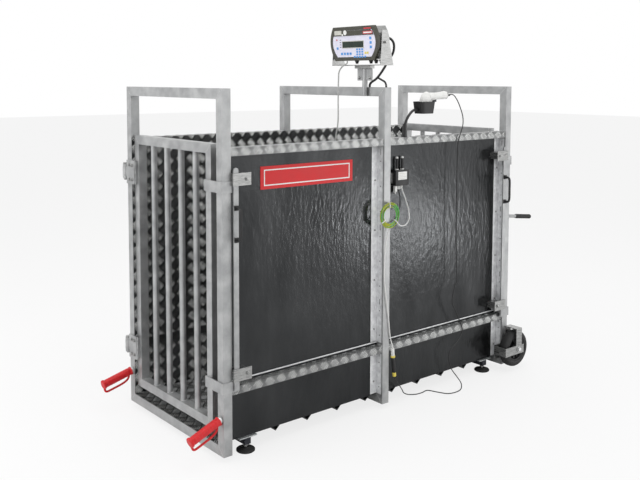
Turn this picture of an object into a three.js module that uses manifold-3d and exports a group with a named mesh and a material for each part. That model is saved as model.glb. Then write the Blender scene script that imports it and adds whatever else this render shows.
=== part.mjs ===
// Animal weighing crate: a walk-through cage of square tube and tread plate that stands on four load cells.
// Millimetres, +Z up. X runs from the front gate to the rear gate, Y from the near side to the far side.
// Measures below are taken from the front face, the near side and the floor that the crate stands on. The
// finished group is then moved so that its origin is the middle of its underside.
import * as THREE from "three";
import { mergeVertices } from "three/addons/utils/BufferGeometryUtils.js";
import Module from "manifold-3d";

const wasm = await Module();
wasm.setup();

// ---------- driving dimensions ----------
const GAP = 0.3; // between touching pieces
const FRAME_LENGTH = 1824; // outside, along X
const FRAME_WIDTH = 806; // outside, along Y
const FRAME_HEIGHT = 1500; // of a hoop
const GROUND_GAP = 25; // below the hoops
const TUBE = 42; // square tube of the hoops
const TUBE_WALL = 2.5;
const DRAIN_R = 4;
const SHEET = 3; // tread plate
const WALL_DROP = 237; // wall's top edge below the top of the hoops
const WALL_BOTTOM = 317;
const SKIRT_TOP = 307;
const LIP_OUT = 35; // how far a folded lip stands out of its sheet
const LIP_DROP = 34;
const BEARER_COUNT = 8;
const BEARER_INSET = 296; // first and last bearer from the ends of the frame
const BEARER_DROP = 22; // V bearers below the floor sheet
const BEARER_HALF = 25;
const BEARER_SHEET = 3;

const GATE_LOCK_GAP = 59; // gate to hoop on the lock side
const GATE_BOTTOM = 110;
const GATE_RISE = 12; // gate's top edge above the wall's
const GATE_TUBE = 40;
const GATE_SETBACK = 12; // gate face behind the hoop face
const GATE_HINGE_GAP = 7; // gate to hoop on the hinge side
const BAR_R = 13.5;
const BAR_WALL = 2;
const BAR_PITCH = 120;
const BAR_COUNT = 4;
const LEAF = 6; // hinge leaf and strap thickness
const LEAF_HEIGHT = 110;
const LEAF_REACH = 92; // from the hinge axis over the post to the gate
const HINGE_INSETS = [186, 172]; // middle of a hinge from the gate's bottom and top edge
const HINGE_OUT = 18; // hinge axis outside the hoop
const PIN_R = 6;
const PIN_CLEARANCE = 0.3;
const KNUCKLE_R = 12;
const KNUCKLE_HEIGHT = 44;
const LUG_HEIGHT = 12;
const STRAP_HEIGHT = 46;
const STRAP_INSETS = [203, 168];
const STRAP_LEG = 4; // strap thickness beside the post
const STRAP_GATE_LAP = 26;

const LOCK_PAST = 4; // lock bar behind the post
const LOCK_WIDTH = 24;
const LOCK_THICK = 6;
const LOCK_OFF = 6.5; // lock bar in front of the hoop's side
const LOCK_ENDS = [17, 77]; // lock bar past the middle of its lower and upper strap
const PEG_R = 5;
const PEG_RISE = 4; // peg above the middle of its strap
const PEG_TAIL = 11; // peg past the inner face of the bar
const GUIDE_HEIGHT = 52;
const GUIDE_RISES = [48, 30]; // middle of a guide above the middle of its strap
const GUIDE_LENGTH = 88;
const GUIDE_PLATE = 5;
const GUIDE_CLEARANCE = 1;
const BOW_HEIGHT = 142;
const BOW_DROP = 180; // middle of the handle below the upper guide
const BOW_OUT = 38;
const BOW_R = 6;

const WHEEL_R = 98;
const WHEEL_WIDTH = 50;
const WHEEL_PAST = 6; // axle behind the rear hoop
const WHEEL_Z = 118;
const WHEEL_OFF = 15; // wheel's inner face outside the hoop
const RIM_R = 62;
const RIM_WIDTH = 44;
const HUB_R = 21;
const AXLE_R = 8;
const AXLE_CLEARANCE = 0.3;
const CAGE_STRAP = 46;
const CAGE_SHEET = 5;
const CAGE_GAP = 9; // cage round the wheel
const CAGE_TOP_GAP = 12;

const FOOT_R = 40;
const FOOT_PAD = 12;
const FOOT_X = 142;
const FOOT_Y = 51;
const STEM_R = 6;
const CELL = [30, 126, 30]; // load cell
const CELL_LIFT = 32;
const CELL_OVERHANG = 18; // load cell past the middle of its foot
const SADDLE_LENGTH = 90;
const SADDLE_CHEEK = 40;
const SADDLE_SHEET = 4;

const GRIP_R = 18.5;
const GRIP_LENGTH = 150;
const GRIP_SLOPES = { near: 21.5, far: 14.5 }; // degrees below level
const GRIP_Z = 180;
const GUARD_R = 5;
const GUARD_DROP = 41; // finger guard below the grip's axis
const STUB_R = 11;
const STUB_LENGTH = 40;

const MAST_R = 12.5;
const MAST_Y = 122;
const MAST_RISE = 87; // mast's top above the hoop
const WING = [5, 100, 56];
const HEAD_REACH = 86; // front of the indicator ahead of the hoop
const HEAD_RISE = 117; // middle of the indicator above the mast
const HEAD_HEIGHT = 158;
const HEAD_WIDTH = 328;
const HEAD_TOP_WIDTH = 282;
const BEZEL = 14;
const BEZEL_RIM = 17;
const RECESS = 3;
const FILM = 2;
const SHELL_DEPTH = 62;
const HEAD_TILT = 4; // degrees, leaning towards the reader
const YOKE_SHEET = 3;
const YOKE_FRONT = 14; // yoke behind the bezel's front
const YOKE_DEPTH = 80;
const YOKE_HEIGHT = 158;
const YOKE_TOP_DEPTH = 28;
const YOKE_LIFT = 14; // yoke's tray above the mast
const PIVOT_X = 40; // tilt axis behind the front
const PIVOT_R = 6;

const SIGN = [514, 2, 97];
const SIGN_X = 215;
const SIGN_DROP = 89; // sign's top edge below the wall's
const ROD_Z = 829; // pull rod at the rear hoop
const ROD_R = 9;
const ROD_LENGTH = 80;
const ROD_SLOPE = 6.5; // degrees below level
const ROD_GRIP_R = 11;
const ROD_GRIP = 130;

const CUP = [107, 72, 58]; // scanner holder
const CUP_PAST = 236; // middle of the holder behind the middle hoop's front
const CUP_Y = 26;
const CUP_RISE = 109; // above the wall's top edge
const CUP_WALL = 3;
const CUP_TAPER = 12; // narrower at the bottom, each side
const NECK_R = 6.5;
const NECK_PAST = 152; // foot of the neck behind the middle hoop's front
const SCANNER_HEAD = 50; // width of the head, across Y
const SCANNER_HANDLE = 34;
const SCANNER_ROUND = 6;
const TRIGGER_TRAVEL = 3;
const CORD_R = 2.5;
const CONDUIT_R = 6;
const CONDUIT_Y = -22; // where it enters the indicator's back
const LEAD_R = 2.5;
const GREY_R = 3.5;
const COIL_OUTER = 62;
const COIL_INNER = 36;
const COIL_X = 916;
const COIL_Z = 930;
const COIL_Y = [-18, -8];
const JUNCTION = [84, 22, 72];
const JUNCTION_PAST = 95; // behind the middle hoop's front
const JUNCTION_DROP = 228; // box's underside below the wall's top edge

// ---------- colours ----------
const FINISH = {
  aluminium: [0xc9cbcc, 0.35, 0.9],
  treadPlate: [0x8b8d8c, 0.4, 0.9],
  steel: [0xd8d8d6, 0.3, 0.9],
  blackPlastic: [0x1b1b1c, 0.55, 0],
  rubber: [0x161616, 0.8, 0],
  redRubber: [0xc41f24, 0.5, 0],
  redSign: [0xd2232a, 0.4, 0],
  darkBezel: [0x47453a, 0.45, 0],
  paleFilm: [0xdedcf2, 0.4, 0],
  whitePlastic: [0xeeeeec, 0.4, 0],
  darkMetal: [0x2a2b33, 0.5, 0.6],
  earthCable: [0x8f9a2c, 0.5, 0],
};

// ---------- solids ----------
function solidFrom(geometry) {
  const bare = geometry.index ? geometry.toNonIndexed() : geometry.clone();
  bare.deleteAttribute("normal");
  bare.deleteAttribute("uv");
  const merged = mergeVertices(bare, 1e-3);
  return new wasm.Manifold(
    new wasm.Mesh({
      numProp: 3,
      vertProperties: merged.attributes.position.array,
      triVerts: new Uint32Array(merged.index.array),
    }),
  );
}

function geometryFrom(solid) {
  const mesh = solid.getMesh();
  const geometry = new THREE.BufferGeometry();
  geometry.setAttribute("position", new THREE.BufferAttribute(mesh.vertProperties.slice(), 3));
  geometry.setIndex(new THREE.BufferAttribute(mesh.triVerts.slice(), 1));
  geometry.computeVertexNormals();
  return geometry;
}

// A box between two corners.
function block(x0, x1, y0, y1, z0, z1) {
  const geometry = new THREE.BoxGeometry(x1 - x0, y1 - y0, z1 - z0);
  geometry.translate((x0 + x1) / 2, (y0 + y1) / 2, (z0 + z1) / 2);
  return solidFrom(geometry);
}

// A round bar between two points.
function rod(from, to, radius, sides = 12, endRadius = radius) {
  const a = new THREE.Vector3(...from);
  const b = new THREE.Vector3(...to);
  const along = b.clone().sub(a);
  const geometry = new THREE.CylinderGeometry(endRadius, radius, along.length(), sides);
  geometry.applyQuaternion(
    new THREE.Quaternion().setFromUnitVectors(new THREE.Vector3(0, 1, 0), along.clone().normalize()),
  );
  geometry.translate(...a.add(b).multiplyScalar(0.5).toArray());
  return solidFrom(geometry);
}

// A flat outline in Y and Z, drawn out along X.
function drawnAlongX(points, x0, x1) {
  const shape = new THREE.Shape(points.map(([y, z]) => new THREE.Vector2(y, z)));
  const geometry = new THREE.ExtrudeGeometry(shape, { depth: x1 - x0, bevelEnabled: false });
  geometry.applyMatrix4(new THREE.Matrix4().set(0, 0, 1, x0, 1, 0, 0, 0, 0, 1, 0, 0, 0, 0, 0, 1));
  return solidFrom(geometry);
}

// A flat outline in X and Z, drawn out along Y.
function drawnAlongY(points, y0, y1) {
  const shape = new THREE.Shape(points.map(([x, z]) => new THREE.Vector2(x, -z)));
  const geometry = new THREE.ExtrudeGeometry(shape, { depth: y1 - y0, bevelEnabled: false });
  geometry.applyMatrix4(new THREE.Matrix4().set(1, 0, 0, 0, 0, 0, 1, y0, 0, -1, 0, 0, 0, 0, 0, 1));
  return solidFrom(geometry);
}

function tubeAlong(points, radius, sides, steps) {
  const curve = new THREE.CatmullRomCurve3(points.map((p) => new THREE.Vector3(...p)));
  const section = new THREE.Shape();
  section.absarc(0, 0, radius, 0, Math.PI * 2);
  const geometry = new THREE.ExtrudeGeometry(section, {
    steps,
    curveSegments: sides / 2,
    extrudePath: curve,
    bevelEnabled: false,
  });
  return solidFrom(geometry);
}

const join = (...solids) => solids.reduce((a, b) => a.add(b));
const cut = (solid, ...tools) => tools.reduce((a, b) => a.subtract(b), solid);
const mirroredInX = (solid) =>
  solid.mirror([1, 0, 0]).translate([FRAME_LENGTH, 0, 0]);
const mirroredInY = (solid) =>
  solid.mirror([0, 1, 0]).translate([0, FRAME_WIDTH, 0]);

const pieces = [];
function add(name, finish, solid, isCord = false) {
  const [color, roughness, metalness] = FINISH[finish];
  const mesh = new THREE.Mesh(
    geometryFrom(solid),
    new THREE.MeshStandardMaterial({ color, roughness, metalness }),
  );
  mesh.name = name;
  pieces.push({ mesh, isCord });
}

function bothEnds(name, finish, solid) {
  add("front_" + name, finish, solid);
  add("rear_" + name, finish, mirroredInX(solid));
}

function bothSides(name, finish, solid) {
  add("near_" + name, finish, solid);
  add("far_" + name, finish, mirroredInY(solid));
}

// ---------- hoops ----------
const HOOP_TOP = GROUND_GAP + FRAME_HEIGHT;
const HOOP_X = [0, (FRAME_LENGTH - TUBE) / 2, FRAME_LENGTH - TUBE];
const WALL_TOP = HOOP_TOP - WALL_DROP;
const GATE_TOP = WALL_TOP + GATE_RISE;
const GATE_WIDTH = FRAME_WIDTH - 2 * TUBE - GATE_HINGE_GAP - GATE_LOCK_GAP;
const HINGE_HEIGHTS = [GATE_BOTTOM + HINGE_INSETS[0], GATE_TOP - HINGE_INSETS[1]];
const STRAP_HEIGHTS = [GATE_BOTTOM + STRAP_INSETS[0], GATE_TOP - STRAP_INSETS[1]];
const GUIDE_HEIGHTS = STRAP_HEIGHTS.map((z, i) => z + GUIDE_RISES[i]);
const HINGE_AXIS_Y = FRAME_WIDTH + HINGE_OUT;
const HINGE_AXIS_X = -GAP - LEAF / 2;

// A closed frame of tube, its hollow drained by two holes in the bottom rail.
function tubeFrame(x0, y0, y1, z0, z1, tube, wall, drainFrom) {
  const ring = (inset, depthInset) => {
    const side = tube - inset;
    return cut(
      block(x0 + depthInset, x0 + tube - depthInset, y0 + inset, y1 - inset, z0 + inset, z1 - inset),
      block(x0 - 1, x0 + tube + 1, y0 + side, y1 - side, z0 + side, z1 - side),
    );
  };
  const drains = [y0 + drainFrom, y1 - drainFrom].map((y) =>
    rod([x0 + tube / 2, y, z0 - 1], [x0 + tube / 2, y, z0 + wall + 1], DRAIN_R, 12),
  );
  return cut(ring(0, 0), ring(wall, wall), ...drains);
}

function hoop(x0) {
  return tubeFrame(x0, 0, FRAME_WIDTH, GROUND_GAP, HOOP_TOP, TUBE, TUBE_WALL, 2 * TUBE);
}

// Lugs above and below each hinge knuckle, welded to the outer side of the end hoop's far post.
function hingeLugs() {
  return HINGE_HEIGHTS.flatMap((z) =>
    [-1, 1].map((side) => {
      const near = z + side * (KNUCKLE_HEIGHT / 2 + GAP);
      const far = near + side * LUG_HEIGHT;
      const low = Math.min(near, far);
      const high = Math.max(near, far);
      const lug = join(
        block(HINGE_AXIS_X - 5, TUBE / 2, FRAME_WIDTH - 1, HINGE_AXIS_Y, low, high),
        rod([HINGE_AXIS_X, HINGE_AXIS_Y, low], [HINGE_AXIS_X, HINGE_AXIS_Y, high], KNUCKLE_R - 1),
      );
      return cut(
        lug,
        block(HINGE_AXIS_X - 20, -GAP, FRAME_WIDTH - 2, FRAME_WIDTH + 1, low - 1, high + 1),
        rod([HINGE_AXIS_X, HINGE_AXIS_Y, low - 1], [HINGE_AXIS_X, HINGE_AXIS_Y, high + 1], PIN_R + GAP),
      );
    }),
  );
}

// A point on a line that starts on the hoop's end face and runs out and down.
function sloping(sign, y, z, degrees, distance) {
  const slope = (degrees * Math.PI) / 180;
  const start = sign < 0 ? 0 : FRAME_LENGTH;
  return [start + sign * Math.cos(slope) * distance, y, z - Math.sin(slope) * distance];
}

// Steel stubs that the red grips are pushed on, welded to the front of the front hoop.
const GRIP_Y = { near: TUBE / 2, far: FRAME_WIDTH - TUBE / 2 };
const alongGrip = (distance, side) => sloping(-1, GRIP_Y[side], GRIP_Z, GRIP_SLOPES[side], distance);
const gripStub = (side) => rod(alongGrip(-STUB_R / 2, side), alongGrip(STUB_LENGTH, side), STUB_R);

const alongRod = (distance) => sloping(1, TUBE / 2, ROD_Z, ROD_SLOPE, distance);
const pullRod = () => rod(alongRod(-1), alongRod(ROD_LENGTH), ROD_R, 16);

function endHoop() {
  return join(hoop(HOOP_X[0]), ...hingeLugs());
}

add("front_hoop", "aluminium", join(endHoop(), gripStub("near"), gripStub("far")));
add("middle_hoop", "aluminium", hoop(HOOP_X[1]));
add("rear_hoop", "aluminium", join(mirroredInX(endHoop()), pullRod()));

// ---------- floor ----------
const FLOOR_UNDER = GROUND_GAP + TUBE + GAP;
const SHEET_OUTER = TUBE + GAP; // outer face of the near sheets
const SHEET_INNER = SHEET_OUTER + SHEET;
const FLOOR_SIDES = [SHEET_INNER + GAP, FRAME_WIDTH - SHEET_INNER - GAP];

function bearer(x) {
  const top = FLOOR_UNDER + 0.5;
  const low = FLOOR_UNDER - BEARER_DROP;
  const outline = [
    [x - BEARER_HALF, top],
    [x, low],
    [x + BEARER_HALF, top],
    [x + BEARER_HALF - BEARER_SHEET * 1.5, top],
    [x, low + BEARER_SHEET * 1.4],
    [x - BEARER_HALF + BEARER_SHEET * 1.5, top],
  ];
  return drawnAlongY(outline, ...FLOOR_SIDES);
}

const bearerPitch = (FRAME_LENGTH - 2 * BEARER_INSET) / (BEARER_COUNT - 1);
const bearerPlaces = [...Array(BEARER_COUNT).keys()].map((i) => BEARER_INSET + i * bearerPitch);
add(
  "floor_plate",
  "treadPlate",
  join(
    block(0, FRAME_LENGTH, ...FLOOR_SIDES, FLOOR_UNDER, FLOOR_UNDER + SHEET),
    ...bearerPlaces.map(bearer),
  ),
);

// ---------- side sheets ----------
// A sheet with its top edge folded out and down. The lip stops at the posts, the sheet runs behind them.
function foldedSheet(x0, x1, bays, bottom, top) {
  const lipFace = SHEET_OUTER - LIP_OUT;
  const lip = (a, b) =>
    join(
      block(a, b, lipFace, SHEET_OUTER + 1, top - SHEET, top),
      block(a, b, lipFace, lipFace + SHEET, top - LIP_DROP, top),
    );
  return join(
    block(x0, x1, SHEET_OUTER, SHEET_INNER, bottom, top),
    ...bays.map(([a, b]) => lip(a, b)),
  );
}

const FRONT_BAY = [TUBE + GAP, HOOP_X[1] - GAP];
const REAR_BAY = [HOOP_X[1] + TUBE + GAP, HOOP_X[2] - GAP];
const BAYS = [FRONT_BAY, REAR_BAY];
bothSides("wall", "treadPlate", foldedSheet(0, FRAME_LENGTH, BAYS, WALL_BOTTOM, WALL_TOP));
bothSides("skirt", "treadPlate", foldedSheet(0, FRAME_LENGTH, BAYS, FLOOR_UNDER, SKIRT_TOP));

// ---------- gates ----------
const GATE_FAR = FRAME_WIDTH - TUBE - GATE_HINGE_GAP;
const GATE_NEAR = GATE_FAR - GATE_WIDTH;
const GATE_MIDDLE = (GATE_FAR + GATE_NEAR) / 2;
const LOCK_X = TUBE + LOCK_PAST;
const LEG_END = LOCK_X + LOCK_WIDTH - 2; // the strap's leg stops just short of the bar's rear edge
const PEG_X = LOCK_X + LOCK_WIDTH / 2;

function gateBars() {
  const x = GATE_SETBACK + GATE_TUBE / 2;
  const places = [...Array(BAR_COUNT).keys()].map(
    (i) => GATE_MIDDLE + (i - (BAR_COUNT - 1) / 2) * BAR_PITCH,
  );
  const ends = [GATE_BOTTOM + GATE_TUBE - 1, GATE_TOP - GATE_TUBE + 1];
  const inside = [GATE_BOTTOM + GATE_TUBE - TUBE_WALL - 1, GATE_TOP - GATE_TUBE + TUBE_WALL + 1];
  return {
    bars: places.map((y) => rod([x, y, ends[0]], [x, y, ends[1]], BAR_R)),
    bores: places.map((y) => rod([x, y, inside[0]], [x, y, inside[1]], BAR_R - BAR_WALL)),
  };
}

function hingeLeaf(z) {
  const low = z - LEAF_HEIGHT / 2;
  const high = z + LEAF_HEIGHT / 2;
  const knuckleLow = z - KNUCKLE_HEIGHT / 2;
  const knuckleHigh = z + KNUCKLE_HEIGHT / 2;
  const gateEdge = HINGE_AXIS_Y - LEAF_REACH;
  return join(
    block(-GAP - LEAF, -GAP, gateEdge, FRAME_WIDTH - GAP, low, high),
    block(-GAP - LEAF, -GAP, FRAME_WIDTH - 1, HINGE_AXIS_Y, knuckleLow, knuckleHigh),
    block(-GAP - 1, GATE_SETBACK + 1, gateEdge, GATE_FAR - 2, low + 8, high - 8),
    rod([HINGE_AXIS_X, HINGE_AXIS_Y, knuckleLow], [HINGE_AXIS_X, HINGE_AXIS_Y, knuckleHigh], KNUCKLE_R),
  );
}

// The strap laps over the near post, turns its corner and ends in a leg with a notch for the peg.
function lockStrap(z) {
  const low = z - STRAP_HEIGHT / 2;
  const high = z + STRAP_HEIGHT / 2;
  const gateEdge = GATE_NEAR + STRAP_GATE_LAP;
  const pegBottom = z + PEG_RISE - PEG_R - GAP;
  return cut(
    join(
      block(-GAP - LEAF, -GAP, -GAP - STRAP_LEG, gateEdge, low, high),
      block(-GAP - 1, GATE_SETBACK + 1, GATE_NEAR + 2, gateEdge, low + 4, high - 4),
      block(-GAP - LEAF, LEG_END, -GAP - STRAP_LEG, -GAP, low, high),
    ),
    block(PEG_X - PEG_R - GAP, PEG_X + PEG_R + GAP, -STRAP_LEG - 1, 0, pegBottom, high + 1),
  );
}

function gate() {
  const { bars, bores } = gateBars();
  const frame = tubeFrame(
    GATE_SETBACK, GATE_NEAR, GATE_FAR, GATE_BOTTOM, GATE_TOP, GATE_TUBE, TUBE_WALL, 2 * GATE_TUBE,
  );
  const welded = join(frame, ...HINGE_HEIGHTS.map(hingeLeaf), ...STRAP_HEIGHTS.map(lockStrap));
  const pinBores = HINGE_HEIGHTS.map((z) =>
    rod(
      [HINGE_AXIS_X, HINGE_AXIS_Y, z - KNUCKLE_HEIGHT],
      [HINGE_AXIS_X, HINGE_AXIS_Y, z + KNUCKLE_HEIGHT],
      PIN_R + PIN_CLEARANCE,
    ),
  );
  return cut(join(welded, ...bars), ...bores, ...pinBores);
}

function hingePin(z) {
  const half = KNUCKLE_HEIGHT / 2 + LUG_HEIGHT + 2 * GAP;
  const at = (height) => [HINGE_AXIS_X, HINGE_AXIS_Y, height];
  return join(
    rod(at(z - half - 6), at(z + half + 1), PIN_R),
    rod(at(z + half), at(z + half + 7), PIN_R + 4, 6),
  );
}

bothEnds("gate", "aluminium", gate());
bothEnds("lower_hinge_pin", "steel", hingePin(HINGE_HEIGHTS[0]));
bothEnds("upper_hinge_pin", "steel", hingePin(HINGE_HEIGHTS[1]));

// ---------- lock bars ----------
const LOCK_Y = [-LOCK_OFF - LOCK_THICK, -LOCK_OFF];
const LOCK_BOTTOM = STRAP_HEIGHTS[0] - LOCK_ENDS[0];
const LOCK_TOP = STRAP_HEIGHTS[1] + LOCK_ENDS[1];
const BOW_MIDDLE = GUIDE_HEIGHTS[1] - BOW_DROP;
const BOW_FOOT = LOCK_Y[0] - GAP;

function lockBar() {
  const edges = [LOCK_X, LOCK_X + LOCK_WIDTH];
  const pegs = STRAP_HEIGHTS.map((z) =>
    rod([PEG_X, LOCK_Y[1] - 1, z + PEG_RISE], [PEG_X, LOCK_Y[1] + PEG_TAIL, z + PEG_RISE], PEG_R),
  );
  return join(
    block(...edges, ...LOCK_Y, LOCK_BOTTOM, LOCK_TOP - LOCK_WIDTH / 2),
    rod(
      [PEG_X, LOCK_Y[0], LOCK_TOP - LOCK_WIDTH / 2],
      [PEG_X, LOCK_Y[1], LOCK_TOP - LOCK_WIDTH / 2],
      LOCK_WIDTH / 2,
      20,
    ),
    ...pegs,
  );
}

// A plate over the bar, with a cheek on one side and a spacer back to the wall on the other.
function lockGuide(z) {
  const low = z - GUIDE_HEIGHT / 2;
  const high = z + GUIDE_HEIGHT / 2;
  const cheek = LOCK_X - GUIDE_CLEARANCE;
  const spacer = LOCK_X + LOCK_WIDTH + GUIDE_CLEARANCE;
  const plateInner = LOCK_Y[0] - GUIDE_CLEARANCE;
  const plateOuter = plateInner - GUIDE_PLATE;
  return join(
    block(cheek - GUIDE_PLATE, cheek - GUIDE_PLATE + GUIDE_LENGTH, plateOuter, plateInner, low, high),
    block(cheek - GUIDE_PLATE, cheek, plateInner - 1, LOCK_Y[1], low, high),
    block(spacer, spacer + 46, plateInner - 1, SHEET_OUTER - GAP, low + 8, high - 8),
  );
}

function bowHandle() {
  const low = BOW_MIDDLE - BOW_HEIGHT / 2;
  const high = BOW_MIDDLE + BOW_HEIGHT / 2;
  const outer = BOW_FOOT - BOW_OUT + BOW_R;
  const points = [
    [PEG_X, BOW_FOOT - 4, low + BOW_R],
    [PEG_X, BOW_FOOT - 18, low + BOW_R],
    [PEG_X, outer + 3, low + BOW_R + 6],
    [PEG_X, outer, low + 28],
    [PEG_X, outer, BOW_MIDDLE],
    [PEG_X, outer, high - 28],
    [PEG_X, outer + 3, high - BOW_R - 6],
    [PEG_X, BOW_FOOT - 18, high - BOW_R],
    [PEG_X, BOW_FOOT - 4, high - BOW_R],
  ];
  const feet = [low + BOW_R, high - BOW_R].map((z) =>
    block(PEG_X - 10, PEG_X + 10, BOW_FOOT - 6, BOW_FOOT, z - 10, z + 10),
  );
  return join(tubeAlong(points, BOW_R, 8, 20), ...feet);
}

bothEnds("lock_bar", "aluminium", lockBar());
bothEnds("bow_handle", "blackPlastic", bowHandle());
bothEnds("lower_guide", "steel", lockGuide(GUIDE_HEIGHTS[0]));
bothEnds("upper_guide", "steel", lockGuide(GUIDE_HEIGHTS[1]));

// ---------- wheels ----------
const WHEEL_X = FRAME_LENGTH + WHEEL_PAST;
const WHEEL_Y = [-WHEEL_OFF - WHEEL_WIDTH, -WHEEL_OFF];
const WHEEL_MIDDLE = (WHEEL_Y[0] + WHEEL_Y[1]) / 2;
const CAGE_OUTER = WHEEL_Y[0] - CAGE_GAP - CAGE_SHEET;

// A ring turned about the axle.
function turned(profile, sides) {
  const geometry = new THREE.LatheGeometry(
    profile.map(([r, y]) => new THREE.Vector2(r, y)),
    sides,
  );
  geometry.translate(WHEEL_X, 0, WHEEL_Z);
  return solidFrom(geometry);
}

const tyreProfile = () => {
  const half = WHEEL_WIDTH / 2;
  const m = WHEEL_MIDDLE;
  return [
    [RIM_R + GAP, m - half + 5],
    [RIM_R + 16, m - half],
    [WHEEL_R - 12, m - half + 2],
    [WHEEL_R - 3, m - half + 10],
    [WHEEL_R, m],
    [WHEEL_R - 3, m + half - 10],
    [WHEEL_R - 12, m + half - 2],
    [RIM_R + 16, m + half],
    [RIM_R + GAP, m + half - 5],
    [RIM_R + GAP, m - half + 5],
  ];
};
const rimProfile = () => {
  const half = RIM_WIDTH / 2;
  const m = WHEEL_MIDDLE;
  const bore = AXLE_R + AXLE_CLEARANCE;
  return [
    [bore, m - half],
    [HUB_R, m - half],
    [HUB_R, m - 6],
    [RIM_R - 5, m - 6],
    [RIM_R - 5, m - half + 2],
    [RIM_R, m - half + 2],
    [RIM_R, m + half - 2],
    [RIM_R - 5, m + half - 2],
    [RIM_R - 5, m + 6],
    [HUB_R, m + 6],
    [HUB_R, m + half],
    [bore, m + half],
    [bore, m - half],
  ];
};

// Flat bar bent round the wheel: a backing plate on the post, a strap over the top, one round the front and
// the axle bolt between them.
function wheelCage() {
  const top = WHEEL_Z + WHEEL_R + CAGE_TOP_GAP;
  const front = WHEEL_X - WHEEL_R - CAGE_GAP;
  const half = CAGE_STRAP / 2;
  const at = (y) => [WHEEL_X, y, WHEEL_Z];
  return join(
    block(front - CAGE_SHEET, WHEEL_X + half, -GAP - CAGE_SHEET, -GAP, WHEEL_Z - 50, WHEEL_Z + 27),
    block(WHEEL_X - half, WHEEL_X + half, -GAP - CAGE_SHEET, -GAP, WHEEL_Z, top + CAGE_SHEET),
    block(WHEEL_X - half, WHEEL_X + half, CAGE_OUTER, -GAP, top, top + CAGE_SHEET),
    block(WHEEL_X - half, WHEEL_X + half, CAGE_OUTER, CAGE_OUTER + CAGE_SHEET, WHEEL_Z - half, top + 1),
    block(front - CAGE_SHEET, front, CAGE_OUTER, -GAP, WHEEL_Z - half, WHEEL_Z + half),
    block(
      front - CAGE_SHEET,
      WHEEL_X + half + 18,
      CAGE_OUTER,
      CAGE_OUTER + CAGE_SHEET,
      WHEEL_Z - half,
      WHEEL_Z + half,
    ),
    rod(at(CAGE_OUTER + 1), at(-GAP - 1), AXLE_R, 16),
    rod(at(CAGE_OUTER + 1), at(CAGE_OUTER - 8), AXLE_R + 6, 6),
  );
}

bothSides("tyre", "rubber", turned(tyreProfile(), 24));
bothSides("rim", "blackPlastic", turned(rimProfile(), 24));
bothSides("wheel_cage", "steel", wheelCage());

// ---------- load cells and feet ----------
const CELL_TOP = CELL_LIFT + CELL[2];

function loadCell() {
  const x0 = FOOT_X - CELL[0] / 2;
  const y0 = FOOT_Y - CELL_OVERHANG;
  const eye = (y) => rod([x0 - 1, y, CELL_LIFT + 15], [x0 + CELL[0] + 1, y, CELL_LIFT + 15], 8);
  return cut(
    block(x0, x0 + CELL[0], y0, y0 + CELL[1], CELL_LIFT, CELL_TOP),
    eye(y0 + CELL[1] / 2 - 8),
    eye(y0 + CELL[1] / 2 + 8),
  );
}

// Pad, stem and lock nut in one.
function foot() {
  const at = (z) => [FOOT_X, FOOT_Y, z];
  return join(
    rod(at(0), at(FOOT_PAD - 3), FOOT_R, 20),
    rod(at(FOOT_PAD - 3.5), at(FOOT_PAD + 4), FOOT_R - 3, 20, 16),
    rod(at(FOOT_PAD), at(CELL_LIFT - GAP), STEM_R),
    rod(at(CELL_LIFT - GAP - 9), at(CELL_LIFT - GAP), STEM_R + 5, 6),
  );
}

// Galvanised saddle bolted under the floor, with a cheek on each side of the load cell.
function saddle() {
  const x0 = FOOT_X - SADDLE_LENGTH / 2;
  const x1 = FOOT_X + SADDLE_LENGTH / 2;
  const y0 = FOOT_Y - CELL_OVERHANG - 5;
  const y1 = FOOT_Y - CELL_OVERHANG + CELL[1];
  const inner = CELL[0] / 2 + GAP;
  const outer = inner + SADDLE_SHEET;
  return join(
    block(x0, x1, y0, y1, CELL_TOP + GAP, FLOOR_UNDER - GAP),
    block(FOOT_X - outer, FOOT_X - inner, y1 - SADDLE_CHEEK, y1, CELL_LIFT + 4, CELL_TOP + 1),
    block(FOOT_X + inner, FOOT_X + outer, y1 - SADDLE_CHEEK, y1, CELL_LIFT + 4, CELL_TOP + 1),
  );
}

const CORNERS = {
  near_front: (solid) => solid,
  far_front: mirroredInY,
  near_rear: mirroredInX,
  far_rear: (solid) => mirroredInX(mirroredInY(solid)),
};
for (const [corner, place] of Object.entries(CORNERS)) {
  add(corner + "_load_cell", "darkMetal", place(loadCell()));
  add(corner + "_foot", "rubber", place(foot()));
  add(corner + "_saddle", "steel", place(saddle()));
}

// ---------- red grips ----------
// A moulded grip on its stub, with a guard that runs below the fingers.
function redGrip(side) {
  const start = 10;
  const end = start + GRIP_LENGTH;
  const slope = (GRIP_SLOPES[side] * Math.PI) / 180;
  const below = (distance, drop) => {
    const [x, y, z] = alongGrip(distance, side);
    return [x + Math.sin(slope) * drop, y, z - Math.cos(slope) * drop];
  };
  const guard = [
    below(start + 14, 8),
    below(start + 19, GUARD_DROP * 0.55),
    below(start + 42, GUARD_DROP * 0.94),
    below(start + 90, GUARD_DROP),
    below(end - 20, GUARD_DROP),
    below(end - 5, GUARD_DROP * 0.9),
    below(end - 5, 8),
  ];
  return cut(
    join(
      rod(alongGrip(start, side), alongGrip(end, side), GRIP_R, 16),
      tubeAlong(guard, GUARD_R, 8, 18),
    ),
    rod(alongGrip(start - 1, side), alongGrip(STUB_LENGTH + GAP, side), STUB_R + GAP),
  );
}
add("near_grip", "redRubber", redGrip("near"));
add("far_grip", "redRubber", redGrip("far"));

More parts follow.
